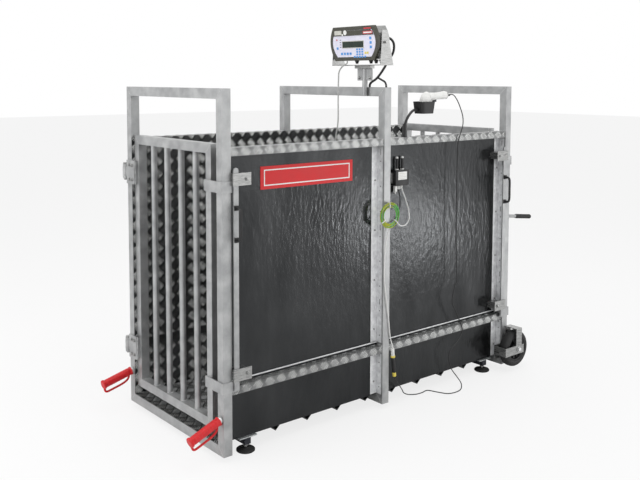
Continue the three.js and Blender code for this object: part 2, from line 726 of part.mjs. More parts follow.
// ---------- mast and indicator ----------
const MAST_X = HOOP_X[1] - GAP - MAST_R;
const MAST_TOP = HOOP_TOP + MAST_RISE;
const HEAD_X = HOOP_X[1] - HEAD_REACH;
const HEAD_Z = MAST_TOP + HEAD_RISE;
const YOKE_BASE = MAST_TOP + YOKE_LIFT;
const YOKE_TOP = YOKE_BASE + YOKE_HEIGHT;
const RAIL_BOTTOM = HOOP_TOP - TUBE;

function mast() {
  const at = (z) => [MAST_X, MAST_Y, z];
  return join(
    rod(at(RAIL_BOTTOM), at(MAST_TOP), MAST_R),
    block(
      MAST_X - WING[0] / 2, MAST_X + WING[0] / 2, MAST_Y - WING[1] / 2, MAST_Y + WING[1] / 2,
      MAST_TOP - WING[2], MAST_TOP,
    ),
  );
}

function yoke() {
  const front = HEAD_X + YOKE_FRONT;
  const back = front + YOKE_DEPTH;
  const half = HEAD_WIDTH / 2 + GAP;
  const sides = [MAST_Y - half - YOKE_SHEET, MAST_Y + half];
  const outline = [
    [front, YOKE_BASE],
    [back, YOKE_BASE],
    [front + YOKE_TOP_DEPTH + 14, YOKE_TOP],
    [front + 8, YOKE_TOP],
  ];
  const tray = [MAST_Y - half - YOKE_SHEET, MAST_Y + half + YOKE_SHEET];
  const pivotHole = rod(
    [HEAD_X + PIVOT_X, tray[0] - 1, HEAD_Z],
    [HEAD_X + PIVOT_X, tray[1] + 1, HEAD_Z],
    PIVOT_R + GAP,
  );
  return cut(
    join(
      ...sides.map((y) => drawnAlongY(outline, y, y + YOKE_SHEET)),
      block(front, back, ...tray, YOKE_BASE, YOKE_BASE + YOKE_SHEET),
      block(MAST_X - 20, MAST_X + 14, MAST_Y - 50, MAST_Y + 50, MAST_TOP + GAP, YOKE_BASE + 1),
    ),
    pivotHole,
  );
}

// The outline of the indicator's face: a flat top, bulging sides and a narrower foot.
function faceOutline(inset) {
  const top = HEAD_HEIGHT / 2 - inset;
  const low = -HEAD_HEIGHT / 2 + inset;
  const shape = new THREE.Shape();
  const topHalf = HEAD_TOP_WIDTH / 2 - inset;
  const footHalf = HEAD_TOP_WIDTH / 2 - 8 - inset;
  const bulge = HEAD_WIDTH - 2 * inset - (topHalf + footHalf) / 2;
  shape.moveTo(-footHalf, low);
  shape.lineTo(footHalf, low);
  shape.quadraticCurveTo(bulge, 0, topHalf, top);
  shape.lineTo(-topHalf, top);
  shape.quadraticCurveTo(-bulge, 0, -footHalf, low);
  return shape;
}

// Draws a face outline back from the front of the head, then leans it forward about the tilt axis.
function leaning(shape, from, depth, curveSegments = 12) {
  const geometry = new THREE.ExtrudeGeometry(shape, { depth, bevelEnabled: false, curveSegments });
  geometry.applyMatrix4(
    new THREE.Matrix4().set(0, 0, 1, from - PIVOT_X, 1, 0, 0, 0, 0, 1, 0, 0, 0, 0, 0, 1),
  );
  geometry.rotateY((-HEAD_TILT * Math.PI) / 180);
  geometry.translate(HEAD_X + PIVOT_X, MAST_Y, HEAD_Z);
  return solidFrom(geometry);
}

function headShell() {
  const body = leaning(faceOutline(4), BEZEL, SHELL_DEPTH, 8);
  const hollow = leaning(faceOutline(4 + YOKE_SHEET), BEZEL - 1, SHELL_DEPTH - YOKE_SHEET + 1, 8);
  const half = HEAD_WIDTH / 2;
  const pivots = [-1, 1].map((side) =>
    rod(
      [HEAD_X + PIVOT_X, MAST_Y + side * (half - 34), HEAD_Z],
      [HEAD_X + PIVOT_X, MAST_Y + side * (half + YOKE_SHEET + 12), HEAD_Z],
      PIVOT_R, 16,
    ),
  );
  const slot = block(
    HEAD_X + BEZEL + SHELL_DEPTH - 14,
    HEAD_X + BEZEL + SHELL_DEPTH + 14,
    CONDUIT_Y - CONDUIT_R - 2,
    CONDUIT_Y + CONDUIT_R + 2,
    HEAD_Z + 3,
    HEAD_Z + 42,
  );
  return join(cut(body, hollow, slot), ...pivots);
}

// The keypad film lies in a recess in the front of the bezel.
add("indicator_bezel", "darkBezel", cut(
  leaning(faceOutline(0), 0, BEZEL - GAP),
  leaning(faceOutline(BEZEL_RIM), -1, 1 + RECESS),
));
add(
  "indicator_keypad",
  "paleFilm",
  leaning(faceOutline(BEZEL_RIM + GAP), RECESS - GAP - FILM, FILM),
);
add("indicator_housing", "steel", headShell());
add("indicator_yoke", "steel", yoke());
add("indicator_mast", "aluminium", mast());

// ---------- sign, junction box and rear pull rod ----------
const SIGN_TOP = WALL_TOP - SIGN_DROP;
const JUNCTION_X = HOOP_X[1] + JUNCTION_PAST;
const JUNCTION_Z = WALL_TOP - JUNCTION_DROP;
add(
  "sign_plate",
  "redSign",
  block(
    SIGN_X, SIGN_X + SIGN[0], SHEET_OUTER - GAP - SIGN[1], SHEET_OUTER - GAP,
    SIGN_TOP - SIGN[2], SIGN_TOP,
  ),
);

function junctionBox() {
  const y0 = SHEET_OUTER - GAP - JUNCTION[1];
  const middle = y0 + JUNCTION[1] / 2;
  const glands = [18, 54].map((x) =>
    rod(
      [JUNCTION_X + x, middle, JUNCTION_Z + JUNCTION[2] - 1],
      [JUNCTION_X + x, middle, JUNCTION_Z + JUNCTION[2] + 56],
      6, 16,
    ),
  );
  return join(
    block(JUNCTION_X, JUNCTION_X + JUNCTION[0], y0, y0 + JUNCTION[1], JUNCTION_Z, JUNCTION_Z + JUNCTION[2]),
    ...glands,
  );
}
add("junction_box", "whitePlastic", junctionBox());

add(
  "rear_pull_grip",
  "blackPlastic",
  rod(alongRod(ROD_LENGTH + GAP), alongRod(ROD_LENGTH + ROD_GRIP), ROD_GRIP_R, 20),
);

// ---------- scanner ----------
const LIP_TOP = WALL_TOP + GAP;
const CUP_X = HOOP_X[1] + CUP_PAST;
const CUP_Z = WALL_TOP + CUP_RISE;
const NECK_X = HOOP_X[1] + NECK_PAST;
const CUP_MIDDLE_X = CUP_X + CUP[0] / 2;
const HEAD_FOOT = CUP_Z + CUP_WALL + GAP;

// A tapered block with well rounded corners, standing at the scanner holder's place.
function holderBlock(low, high, lowHalf, highHalf) {
  const geometry = new THREE.CylinderGeometry(1, 1, 1, 24);
  geometry.rotateX(Math.PI / 2);
  const position = geometry.attributes.position;
  const squared = (v) => Math.sign(v) * Math.sqrt(Math.abs(v));
  for (let i = 0; i < position.count; i++) {
    const half = position.getZ(i) > 0 ? highHalf : lowHalf;
    const x = CUP_MIDDLE_X + half[0] * squared(position.getX(i));
    const y = CUP_Y + half[1] * squared(position.getY(i));
    position.setXYZ(i, x, y, position.getZ(i) > 0 ? high : low);
  }
  return solidFrom(geometry);
}

// A holder with sloping sides, open at the top, on a bent neck that stands on the near lip.
function scannerStand() {
  const top = CUP_Z + CUP[2];
  const highHalf = [CUP[0] / 2, CUP[1] / 2];
  const lowHalf = [CUP[0] / 2 - CUP_TAPER, CUP[1] / 2 - 2];
  const less = (half) => half.map((v) => v - CUP_WALL);
  const neck = [
    [CUP_X + 12, CUP_Y, CUP_Z + 18],
    [CUP_X - 12, CUP_Y, CUP_Z + 19],
    [CUP_X - 33, 25, CUP_Z + 10],
    [CUP_X - 54, 24, CUP_Z - 8],
    [CUP_X - 70, 24, CUP_Z - 30],
    [NECK_X + 3, 24, CUP_Z - 60],
    [NECK_X, 24, LIP_TOP + 4],
  ];
  const foot = [
    rod([NECK_X, 24, LIP_TOP], [NECK_X, 24, LIP_TOP + 5], 15, 20),
    rod([NECK_X, 24, LIP_TOP + 3], [NECK_X + 4, 24, LIP_TOP + 62], 10, 16),
  ];
  return cut(
    join(holderBlock(CUP_Z, top, lowHalf, highHalf), tubeAlong(neck, NECK_R, 8, 16), ...foot),
    holderBlock(CUP_Z + CUP_WALL, top + 1, less(lowHalf), less(highHalf)),
  );
}

// A side view drawn across Y, with rounded edges.
function rounded(outline, width, round) {
  const shape = new THREE.Shape(outline.map(([x, z]) => new THREE.Vector2(x, -z)));
  const geometry = new THREE.ExtrudeGeometry(shape, {
    depth: width - 2 * round,
    bevelThickness: round,
    bevelSize: round,
    bevelOffset: -round,
    bevelSegments: 2,
  });
  const y = CUP_Y - width / 2 + round;
  geometry.applyMatrix4(new THREE.Matrix4().set(1, 0, 0, 0, 0, 0, 1, y, 0, -1, 0, 0, 0, 0, 0, 1));
  return solidFrom(geometry);
}

const TRIGGER = [1244, 1262];
const HANDLE_END = 1341;

function scannerBody() {
  const head = [
    [CUP_X + 24, HEAD_FOOT],
    [CUP_X + 84, HEAD_FOOT],
    [CUP_X + 94, CUP_Z + 62],
    [CUP_X + 108, CUP_Z + 84],
    [CUP_X + 98, CUP_Z + 96],
    [CUP_X + 64, CUP_Z + 107],
    [CUP_X + 40, CUP_Z + 105],
    [CUP_X + 19, CUP_Z + 90],
    [CUP_X + 15, CUP_Z + 62],
  ];
  const handle = [
    [CUP_X + 60, CUP_Z + 68],
    [CUP_X + 140, CUP_Z + 63],
    [HANDLE_END - 20, CUP_Z + 57],
    [HANDLE_END, CUP_Z + 76],
    [HANDLE_END, CUP_Z + 96],
    [HANDLE_END - 22, CUP_Z + 104],
    [CUP_X + 130, CUP_Z + 97],
    [CUP_X + 70, CUP_Z + 104],
  ];
  const pocket = block(
    TRIGGER[0] - GAP,
    TRIGGER[1] + GAP,
    CUP_Y - 6 - GAP,
    CUP_Y + 6 + GAP,
    CUP_Z + 60,
    CUP_Z + 76 + TRIGGER_TRAVEL,
  );
  return cut(
    join(rounded(head, SCANNER_HEAD, SCANNER_ROUND), rounded(handle, SCANNER_HANDLE, SCANNER_ROUND)),
    pocket,
  );
}

add("scanner_stand", "blackPlastic", scannerStand());
add("scanner", "whitePlastic", scannerBody());
add("scanner_trigger", "darkMetal", block(...TRIGGER, CUP_Y - 6, CUP_Y + 6, CUP_Z + 55, CUP_Z + 75));

// ---------- cords ----------
const SCANNER_CORD = [
  [HANDLE_END + GAP, 26, 1483],
  [HANDLE_END + 8, 26, 1483.5],
  [1364, 26, 1487],
  [1390, 25, 1485],
  [1415, 23, 1462],
  [1437, 18, 1420],
  [1448, 10, 1374],
  [1442, 4, 1333],
  [1420, 0, 1290],
  [1404, -1, 1254],
  [1397, -2, 1100],
  [1395, -2, 950],
  [1398, -2, 800],
  [1400, -2, 695],
  [1404, -3, 600],
  [1405, -4, 541],
  [1384, -5, 505],
  [1373, -5, 433],
  [1400, -4, 387],
  [1434, -4, 326],
  [1453, -4, 283],
  [1443, -4, 255],
  [1405, -4, 220],
  [1362, -4, 188],
  [1354, -5, 143],
  [1372, -6, 93],
  [1400, -16, 52],
  [1414, -34, 19],
  [1394, -55, 4.4],
  [1344, -76, 3.2],
  [1283, -66, 3.2],
  [1256, -18, 3.2],
  [1234, 30, 3.2],
  [1191, 26, 3.2],
  [1150, 30, 3.6],
  [1115, 44, 7],
  [1075, 36, 26],
  [1030, 10, 66],
  [985, -7, 112],
  [963, -8, 140],
  [962, -8, 149.5],
];
const CONNECTOR = [
  [962, -8, 150],
  [957, -8, 192],
  [951, -8, 248],
  [947.5, -8, 290],
];
const WHITE_LEAD = [
  [947.4, -8, 290.6],
  [946.5, -8, 299],
  [941, -7, 318],
  [934, -5.5, 345],
  [922, -5.5, 437],
  [903, -6, 549],
  [893, -6, 621],
  [891, -7, 700],
  [895, -9, 780],
  [907, -12, 840],
  [COIL_X, -13, COIL_Z - COIL_OUTER - 8],
  [COIL_X, -13, COIL_Z - COIL_OUTER - 0.5],
];
const JUNCTION_LEAD = [
  [1036, 31, JUNCTION_Z - GAP],
  [1036, 31, JUNCTION_Z - 9],
  [1042, 29, 1030],
  [1058, 23, 985],
  [1066, 12, 940],
  [1058, 0, 896],
  [1022, -10, 872],
  [988, -13, 874],
  [COIL_X + 0.766 * (COIL_OUTER + 8), -13, COIL_Z - 0.643 * (COIL_OUTER + 8)],
  [COIL_X + 0.766 * COIL_OUTER + 0.4, -13, COIL_Z - 0.643 * COIL_OUTER - 0.4],
];
const CONDUIT = [
  [875, CONDUIT_Y, 1751],
  [889, CONDUIT_Y, 1750.4],
  [905, -24, 1744],
  [922, -22, 1728],
  [929, -18, 1705],
  [926, -14, 1682],
  [918, -5, 1660],
  [907, 16, 1622],
  [904, 40, 1592],
  [902, 70, 1564],
  [900.5, 105, 1545],
  [900, 112, HOOP_TOP + 9],
  [900, 112, HOOP_TOP + GAP],
];
const BRANCH = [
  [903, 62, 1570],
  [906, 40, 1560],
  [910, 20, 1549],
  [912, 14, HOOP_TOP + 9],
  [912, 14, HOOP_TOP + GAP],
];

const GREY_CABLE = [
  [815, 177, 1646.6],
  [815, 177.5, 1638],
  [811, 206, 1622],
  [810, 228, 1598],
  [810, 233, 1560],
  [810, 235, 1460],
  [811, 237, 1353],
  [813, 258, 1271],
  [815, 266, 1200],
  [816, 268, 1150],
];

function connector() {
  const radii = [8, 11, 9];
  const parts = radii.map((radius, i) => rod(CONNECTOR[i], CONNECTOR[i + 1], radius, 16));
  return join(...parts);
}

function coil() {
  const [near, far] = COIL_Y;
  const profile = [
    [COIL_INNER, (near + far) / 2],
    [COIL_INNER + 4, near],
    [COIL_OUTER - 4, near],
    [COIL_OUTER, (near + far) / 2],
    [COIL_OUTER - 4, far],
    [COIL_INNER + 4, far],
    [COIL_INNER, (near + far) / 2],
  ];
  const geometry = new THREE.LatheGeometry(
    profile.map(([r, y]) => new THREE.Vector2(r, y)),
    28,
  );
  geometry.translate(COIL_X, 0, COIL_Z);
  const tie = block(COIL_X - 4, COIL_X + 4, near + 5, -GAP, COIL_Z + COIL_OUTER - 8, COIL_Z + COIL_OUTER + 2);
  return join(solidFrom(geometry), tie);
}

add("scanner_cord", "blackPlastic", tubeAlong(SCANNER_CORD, CORD_R, 8, 80), true);
add("inline_connector", "blackPlastic", connector(), true);
add("white_lead", "whitePlastic", tubeAlong(WHITE_LEAD, LEAD_R, 8, 30), true);
add("junction_lead", "whitePlastic", tubeAlong(JUNCTION_LEAD, LEAD_R, 8, 22), true);
add("earth_coil", "earthCable", coil(), true);
add("grey_cable", "whitePlastic", tubeAlong(GREY_CABLE, GREY_R, 8, 24), true);
const conduitTubes = [tubeAlong(CONDUIT, CONDUIT_R, 8, 20), tubeAlong(BRANCH, CONDUIT_R - 1, 8, 8)];
add("conduit", "steel", join(...conduitTubes), true);

// ---------- the group ----------
const crate = new THREE.Group();
const bounds = new THREE.Box3();
for (const { mesh, isCord } of pieces) {
  crate.add(mesh);
  mesh.geometry.computeBoundingBox();
  if (!isCord) bounds.union(mesh.geometry.boundingBox);
}
const middle = bounds.getCenter(new THREE.Vector3());
for (const { mesh } of pieces) {
  mesh.position.set(-middle.x, -middle.y, -bounds.min.z);
}

export default crate;
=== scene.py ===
import bpy
import bmesh
import math
from mathutils import Matrix, Vector, noise


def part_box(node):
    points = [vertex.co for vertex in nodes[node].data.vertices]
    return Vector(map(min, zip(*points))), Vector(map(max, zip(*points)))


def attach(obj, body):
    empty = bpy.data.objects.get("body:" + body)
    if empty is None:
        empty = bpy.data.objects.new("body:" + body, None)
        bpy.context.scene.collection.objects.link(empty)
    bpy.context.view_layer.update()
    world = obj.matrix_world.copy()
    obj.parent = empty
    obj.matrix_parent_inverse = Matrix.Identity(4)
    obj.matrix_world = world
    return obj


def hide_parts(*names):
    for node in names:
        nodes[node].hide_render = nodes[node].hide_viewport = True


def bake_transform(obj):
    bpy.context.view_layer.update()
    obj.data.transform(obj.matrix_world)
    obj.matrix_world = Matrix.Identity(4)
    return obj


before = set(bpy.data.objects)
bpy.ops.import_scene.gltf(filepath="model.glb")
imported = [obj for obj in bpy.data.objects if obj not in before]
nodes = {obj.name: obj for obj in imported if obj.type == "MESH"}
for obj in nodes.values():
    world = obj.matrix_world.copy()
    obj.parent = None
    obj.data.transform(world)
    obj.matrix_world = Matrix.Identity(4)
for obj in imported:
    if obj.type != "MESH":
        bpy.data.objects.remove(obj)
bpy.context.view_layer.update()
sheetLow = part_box("near_wall")[0]
lipIn = 0.0073  # metres from the outer side of the hoops in to the folded lip
crateCorner = Vector((sheetLow.x, sheetLow.y - lipIn, 0))
crate = {  # millimetres from the front near corner, on the floor
    "length": 1824,
    "width": 806,
    "tube": 42,
    "hoops": {"front": 0, "middle": 891, "rear": 1782},  # front side of each
    "rails": (25, 1525),  # underside of the lowest tubes, top of the highest
    "bays": {"Front": (43, 890), "Rear": (934, 1781)},  # folded lips between the hoops
    "tops": {"wall": 1288, "skirt": 307},  # top of each folded sheet
    "sheet": 45.3,  # inner side of the near sheets
    "floor": 70.3,  # upper side of the floor plate
    "centre": (912, 403, 700),
}
print("frame loaded,", len(nodes), "nodes")


def place(x, y, z):  # a place on the crate in millimetres, to metres in the scene
    return crateCorner + Vector((x, y, z)) / 1000


def placed(points):
    return [place(*p) for p in points]


def turnTo(x, y, z):  # the turn that carries the three axes to three directions
    return Matrix((x, y, z)).transposed().to_4x4()


cameraSpec = {
    "at": (-1818.5, -2793.9, 1565.9),
    "yaw": 39.728,  # degrees, as down and roll are
    "down": 4.464,
    "roll": 0.150,
    "lens": 47.352,
    "shift": -0.15,
}


def addCamera(spec):
    yaw, down, roll = (math.radians(spec[k]) for k in ("yaw", "down", "roll"))
    ahead = Vector((math.sin(yaw) * math.cos(down), math.cos(yaw) * math.cos(down), -math.sin(down)))
    level = Vector((math.cos(yaw), -math.sin(yaw), 0))
    upright = level.cross(ahead)
    right = math.cos(roll) * level + math.sin(roll) * upright
    up = math.cos(roll) * upright - math.sin(roll) * level
    data = bpy.data.cameras.new("camera")
    data.lens = spec["lens"]
    data.sensor_width = 36
    data.shift_y = spec["shift"]
    data.clip_end = 60
    camera = bpy.data.objects.new("camera", data)
    bpy.context.scene.collection.objects.link(camera)
    camera.matrix_world = Matrix.Translation(place(*spec["at"])) @ turnTo(right, up, -ahead)
    bpy.context.scene.camera = camera


addCamera(cameraSpec)
print("camera set")


def linearColour(hexCode):
    channels = [int(hexCode[i : i + 2], 16) / 255 for i in (0, 2, 4)]
    return tuple(c / 12.92 if c <= 0.04045 else ((c + 0.055) / 1.055) ** 2.4 for c in channels) + (1.0,)


def addNode(tree, kind, inputs=None, **settings):
    node = tree.nodes.new(kind)
    for key, value in settings.items():
        setattr(node, key, value)
    for key, value in (inputs or {}).items():
        if isinstance(value, bpy.types.NodeSocket):
            tree.links.new(value, node.inputs[key])
        else:
            node.inputs[key].default_value = value
    return node


def startMaterial(name, colour, metallic, roughness):
    material = bpy.data.materials.new(name)
    material.use_nodes = True
    tree = material.node_tree
    shader = tree.nodes["Principled BSDF"]
    shader.inputs["Base Color"].default_value = linearColour(colour)
    shader.inputs["Metallic"].default_value = metallic
    shader.inputs["Roughness"].default_value = roughness
    return material, tree, shader


def makeFinish(name, spec):
    # colour wanders between two tones, roughness between two limits, and a fine relief breaks up the shine
    material, tree, shader = startMaterial(name, spec["tones"][0], spec["metallic"], spec["rough"][0])
    coords = addNode(tree, "ShaderNodeTexCoord")
    scale = spec.get("stretch", (1, 1, 1))
    stretch = addNode(tree, "ShaderNodeMapping", {"Vector": coords.outputs["Object"], "Scale": scale})
    along = stretch.outputs["Vector"]
    patches = addNode(
        tree,
        "ShaderNodeTexNoise",
        {"Vector": along, "Scale": 1000 / spec["patch"], "Detail": 4.0, "Roughness": 0.55},
    )
    ramp = addNode(tree, "ShaderNodeValToRGB", {"Fac": patches.outputs["Fac"]})
    ramp.color_ramp.elements[0].position = 0.32
    ramp.color_ramp.elements[0].color = linearColour(spec["tones"][0])
    ramp.color_ramp.elements[1].position = 0.68
    ramp.color_ramp.elements[1].color = linearColour(spec["tones"][1])
    tree.links.new(ramp.outputs["Color"], shader.inputs["Base Color"])
    limits = addNode(
        tree,
        "ShaderNodeMapRange",
        {
            "Value": patches.outputs["Fac"], "From Min": 0.3, "From Max": 0.7,
            "To Min": spec["rough"][0], "To Max": spec["rough"][1],
        },
    )
    tree.links.new(limits.outputs["Result"], shader.inputs["Roughness"])
    grain = addNode(
        tree,
        "ShaderNodeTexNoise",
        {"Vector": along, "Scale": 1000 / spec["grain"], "Detail": 3.0, "Roughness": 0.6},
    )
    bump = addNode(
        tree,
        "ShaderNodeBump",
        {
            "Height": grain.outputs["Fac"], "Strength": spec["reliefStrength"],
            "Distance": spec["relief"] / 1000,
        },
    )
    tree.links.new(bump.outputs["Normal"], shader.inputs["Normal"])
    return material


# tones are sRGB, rough holds two limits, and patch, grain and relief are millimetres
finishes = {
    # extruded aluminium tube, mill finish: pale satin with handling smudges
    "extrudedAluminium": {
        "tones": ("9b9c9d", "b6b7b7"), "metallic": 0.6, "rough": (0.34, 0.50),
        "patch": 60, "grain": 1.6, "relief": 0.06, "reliefStrength": 0.5,
    },
    # back of rolled tread plate: bright, slightly wavy; its tone, darker than the tube, is a painted
    # reflection of the dark surroundings the sheet mirrors
    "rolledPlate": {
        "tones": ("353637", "424344"), "metallic": 0.9, "rough": (0.18, 0.28),
        "patch": 160, "grain": 24, "relief": 3.0, "reliefStrength": 0.8, "stretch": (1, 1, 0.4),
    },
    # face of rolled tread plate between and on its bars
    "treadFace": {
        "tones": ("474848", "5c5d5d"), "metallic": 0.85, "rough": (0.26, 0.40),
        "patch": 70, "grain": 3.0, "relief": 0.1, "reliefStrength": 0.5,
    },
    # folded lips of the tread plate: lighter than the inside, a painted highlight for the light they catch
    # from above
    "lipFace": {
        "tones": ("727373", "8e8f8f"), "metallic": 0.8, "rough": (0.28, 0.42),
        "patch": 30, "grain": 3.0, "relief": 0.1, "reliefStrength": 0.5,
    },
    # tread bars that lean one way: a painted highlight, brighter than the sheet between them and than the
    # bars that lean the other way
    "litTreadBars": {
        "tones": ("a8a9a8", "cdcecc"), "metallic": 0.85, "rough": (0.22, 0.34),
        "patch": 40, "grain": 2.0, "relief": 0.05, "reliefStrength": 0.4,
    },
    # tread bars that lean the other way: their flanks turn from the light, so they stay close to the sheet
    "treadShade": {
        "tones": ("686969", "808181"), "metallic": 0.85, "rough": (0.28, 0.40),
        "patch": 40, "grain": 2.0, "relief": 0.05, "reliefStrength": 0.4,
    },
    # perforated strip, hot-dip galvanised: near white and blotchy; on the strips at the posts the near white
    # is painted highlight and painted reflection
    "zincAndHighlight": {
        "tones": ("d4d5d7", "f6f7f8"), "metallic": 0.1, "rough": (0.34, 0.50),
        "patch": 22, "grain": 2.0, "relief": 0.2, "reliefStrength": 0.6,
    },
    # weld metal in aluminium: bright and rippled
    "weldMetal": {
        "tones": ("c4c5c5", "e2e3e3"), "metallic": 0.8, "rough": (0.22, 0.38),
        "patch": 6, "grain": 1.5, "relief": 0.2, "reliefStrength": 0.7,
    },
    # dark green glass of a switched-off display: glossy
    "displayGlass": {
        "tones": ("1c2a20", "223226"), "metallic": 0.0, "rough": (0.10, 0.16),
        "patch": 40, "grain": 8, "relief": 0.01, "reliefStrength": 0.2,
    },
    # printed blue, yellow, red and grey of the keys: satin ink under film
    "keyBlue": {
        "tones": ("4a92dc", "5aa2e6"), "metallic": 0.0, "rough": (0.30, 0.38),
        "patch": 10, "grain": 0.7, "relief": 0.02, "reliefStrength": 0.4,
    },
    "keyYellow": {
        "tones": ("e4cf52", "ecd85e"), "metallic": 0.0, "rough": (0.30, 0.38),
        "patch": 10, "grain": 0.7, "relief": 0.02, "reliefStrength": 0.4,
    },
    "inkRed": {
        "tones": ("c8323c", "d43c46"), "metallic": 0.0, "rough": (0.30, 0.38),
        "patch": 10, "grain": 0.7, "relief": 0.02, "reliefStrength": 0.4,
    },
    "labelGrey": {
        "tones": ("c9c8c0", "d4d3cb"), "metallic": 0.0, "rough": (0.36, 0.46),
        "patch": 10, "grain": 0.7, "relief": 0.02, "reliefStrength": 0.4,
    },
    # green insulation beside the yellow in an earth wire: satin
    "earthGreen": {
        "tones": ("4fae4c", "62bd58"), "metallic": 0.0, "rough": (0.38, 0.50),
        "patch": 9, "grain": 1.0, "relief": 0.03, "reliefStrength": 0.4,
    },
    # stainless sheet, ground: pale with short scratches
    "groundStainless": {
        "tones": ("8e8f8e", "b2b2b1"), "metallic": 0.9, "rough": (0.22, 0.36),
        "patch": 35, "grain": 0.8, "relief": 0.03, "reliefStrength": 0.5, "stretch": (1, 1, 8),
    },
    # galvanised steel: pale grey with spangle
    "galvanised": {
        "tones": ("a9adae", "c9cccd"), "metallic": 0.7, "rough": (0.30, 0.45),
        "patch": 9, "grain": 2.0, "relief": 0.05, "reliefStrength": 0.5,
    },
    # moulded black nylon: satin with a fine spark-eroded texture
    "blackNylon": {
        "tones": ("161617", "1f1f20"), "metallic": 0.0, "rough": (0.38, 0.52),
        "patch": 20, "grain": 1.0, "relief": 0.05, "reliefStrength": 0.6,
    },
    # solid rubber of tyres and feet: matt, a little dusty
    "blackRubber": {
        "tones": ("151515", "232323"), "metallic": 0.0, "rough": (0.62, 0.82),
        "patch": 16, "grain": 1.2, "relief": 0.08, "reliefStrength": 0.6,
    },
    # red moulded rubber of the grips: even and slightly glossy
    "redRubber": {
        "tones": ("c80d15", "d8151d"), "metallic": 0.0, "rough": (0.36, 0.48),
        "patch": 14, "grain": 0.9, "relief": 0.05, "reliefStrength": 0.5,
    },
    # printed plastic sign: glossy red
    "signRed": {
        "tones": ("cc0b13", "d41119"), "metallic": 0.0, "rough": (0.42, 0.52),
        "patch": 60, "grain": 20, "relief": 0.03, "reliefStrength": 0.3,
    },
    # dark olive moulded bezel: satin
    "oliveBezel": {
        "tones": ("3b3a30", "45443a"), "metallic": 0.0, "rough": (0.36, 0.48),
        "patch": 25, "grain": 0.9, "relief": 0.04, "reliefStrength": 0.5,
    },
    # printed polyester keypad film: very pale lavender
    "keypadFilm": {
        "tones": ("e4e2f4", "ecebf8"), "metallic": 0.0, "rough": (0.30, 0.38),
        "patch": 40, "grain": 0.7, "relief": 0.02, "reliefStrength": 0.4,
    },
    # white ABS housings and cable jackets: satin
    "whitePlastic": {
        "tones": ("e6e6e3", "f0f0ee"), "metallic": 0.0, "rough": (0.36, 0.46),
        "patch": 22, "grain": 0.9, "relief": 0.03, "reliefStrength": 0.5,
    },
    # grey soft PVC jacket: satin
    "greyJacket": {
        "tones": ("b4b5b3", "c4c5c3"), "metallic": 0.0, "rough": (0.40, 0.52),
        "patch": 18, "grain": 1.0, "relief": 0.03, "reliefStrength": 0.4,
    },
    # black PVC jacket of the scanner's cord: satin
    "blackJacket": {
        "tones": ("1a1a1b", "262627"), "metallic": 0.0, "rough": (0.40, 0.52),
        "patch": 18, "grain": 1.0, "relief": 0.03, "reliefStrength": 0.4,
    },
    # dark painted load cell: blue-black enamel
    "cellEnamel": {
        "tones": ("1d1f27", "282a33"), "metallic": 0.2, "rough": (0.34, 0.46),
        "patch": 12, "grain": 1.4, "relief": 0.04, "reliefStrength": 0.5,
    },
    # yellow-green insulation of an earth wire: satin
    "earthJacket": {
        "tones": ("8d9c20", "b9b82c"), "metallic": 0.0, "rough": (0.40, 0.50),
        "patch": 9, "grain": 1.0, "relief": 0.03, "reliefStrength": 0.4,
    },
}
finish = {name: makeFinish(name, spec) for name, spec in finishes.items()}
print("materials made")


def wear(obj, name):
    obj.data.materials.clear()
    obj.data.materials.append(finish[name])


def soften(obj, width):
    # a shown node gets rounded edges, in millimetres, and smooth sides
    obj.data.polygons.foreach_set("use_smooth", [True] * len(obj.data.polygons))
    weld = obj.modifiers.new("weld", "WELD")
    weld.merge_threshold = 0.00002
    bevel = obj.modifiers.new("edges", "BEVEL")
    bevel.width = width / 1000
    bevel.segments = 2
    bevel.limit_method = "ANGLE"
    bevel.angle_limit = math.radians(32)
    bevel.use_clamp_overlap = True
    shading = obj.modifiers.new("shading", "WEIGHTED_NORMAL")
    shading.keep_sharp = True


# finish and edge width in millimetres of each node that is shown as it is
shownNodes = {
    "front_hoop": ("extrudedAluminium", 2.2), "middle_hoop": ("extrudedAluminium", 2.2),
    "rear_hoop": ("extrudedAluminium", 2.2), "front_gate": ("extrudedAluminium", 1.6),
    "rear_gate": ("extrudedAluminium", 1.6), "front_lock_bar": ("extrudedAluminium", 0.8),
    "rear_lock_bar": ("extrudedAluminium", 0.8), "indicator_mast": ("extrudedAluminium", 0.8),
    "floor_plate": ("treadFace", 0.6), "near_wall": ("rolledPlate", 0.9), "far_wall": ("rolledPlate", 0.9),
    "near_skirt": ("rolledPlate", 0.9), "far_skirt": ("rolledPlate", 0.9),
    "front_lower_hinge_pin": ("groundStainless", 0.6), "rear_lower_hinge_pin": ("groundStainless", 0.6),
    "front_upper_hinge_pin": ("groundStainless", 0.6), "rear_upper_hinge_pin": ("groundStainless", 0.6),
    "front_lower_guide": ("groundStainless", 0.8), "rear_lower_guide": ("groundStainless", 0.8),
    "front_upper_guide": ("groundStainless", 0.8), "rear_upper_guide": ("groundStainless", 0.8),
    "front_bow_handle": ("blackNylon", 0.8), "rear_bow_handle": ("blackNylon", 0.8),
    "near_tyre": ("blackRubber", 1.0), "far_tyre": ("blackRubber", 1.0),
    "near_rim": ("blackNylon", 0.8), "far_rim": ("blackNylon", 0.8),
    "near_wheel_cage": ("groundStainless", 0.8), "far_wheel_cage": ("groundStainless", 0.8),
    "near_grip": ("redRubber", 1.0), "far_grip": ("redRubber", 1.0),
    "indicator_bezel": ("oliveBezel", 2.0), "indicator_keypad": ("keypadFilm", 0.3),
    "indicator_housing": ("groundStainless", 1.5), "indicator_yoke": ("groundStainless", 0.8),
    "sign_plate": ("signRed", 0.4), "junction_box": ("blackNylon", 1.2),
    "rear_pull_grip": ("blackNylon", 1.2), "scanner_stand": ("blackNylon", 0.8),
    "scanner": ("whitePlastic", 1.2), "scanner_trigger": ("cellEnamel", 0.6),
    "inline_connector": ("blackNylon", 0.6), "earth_coil": ("earthJacket", 0.8),
}
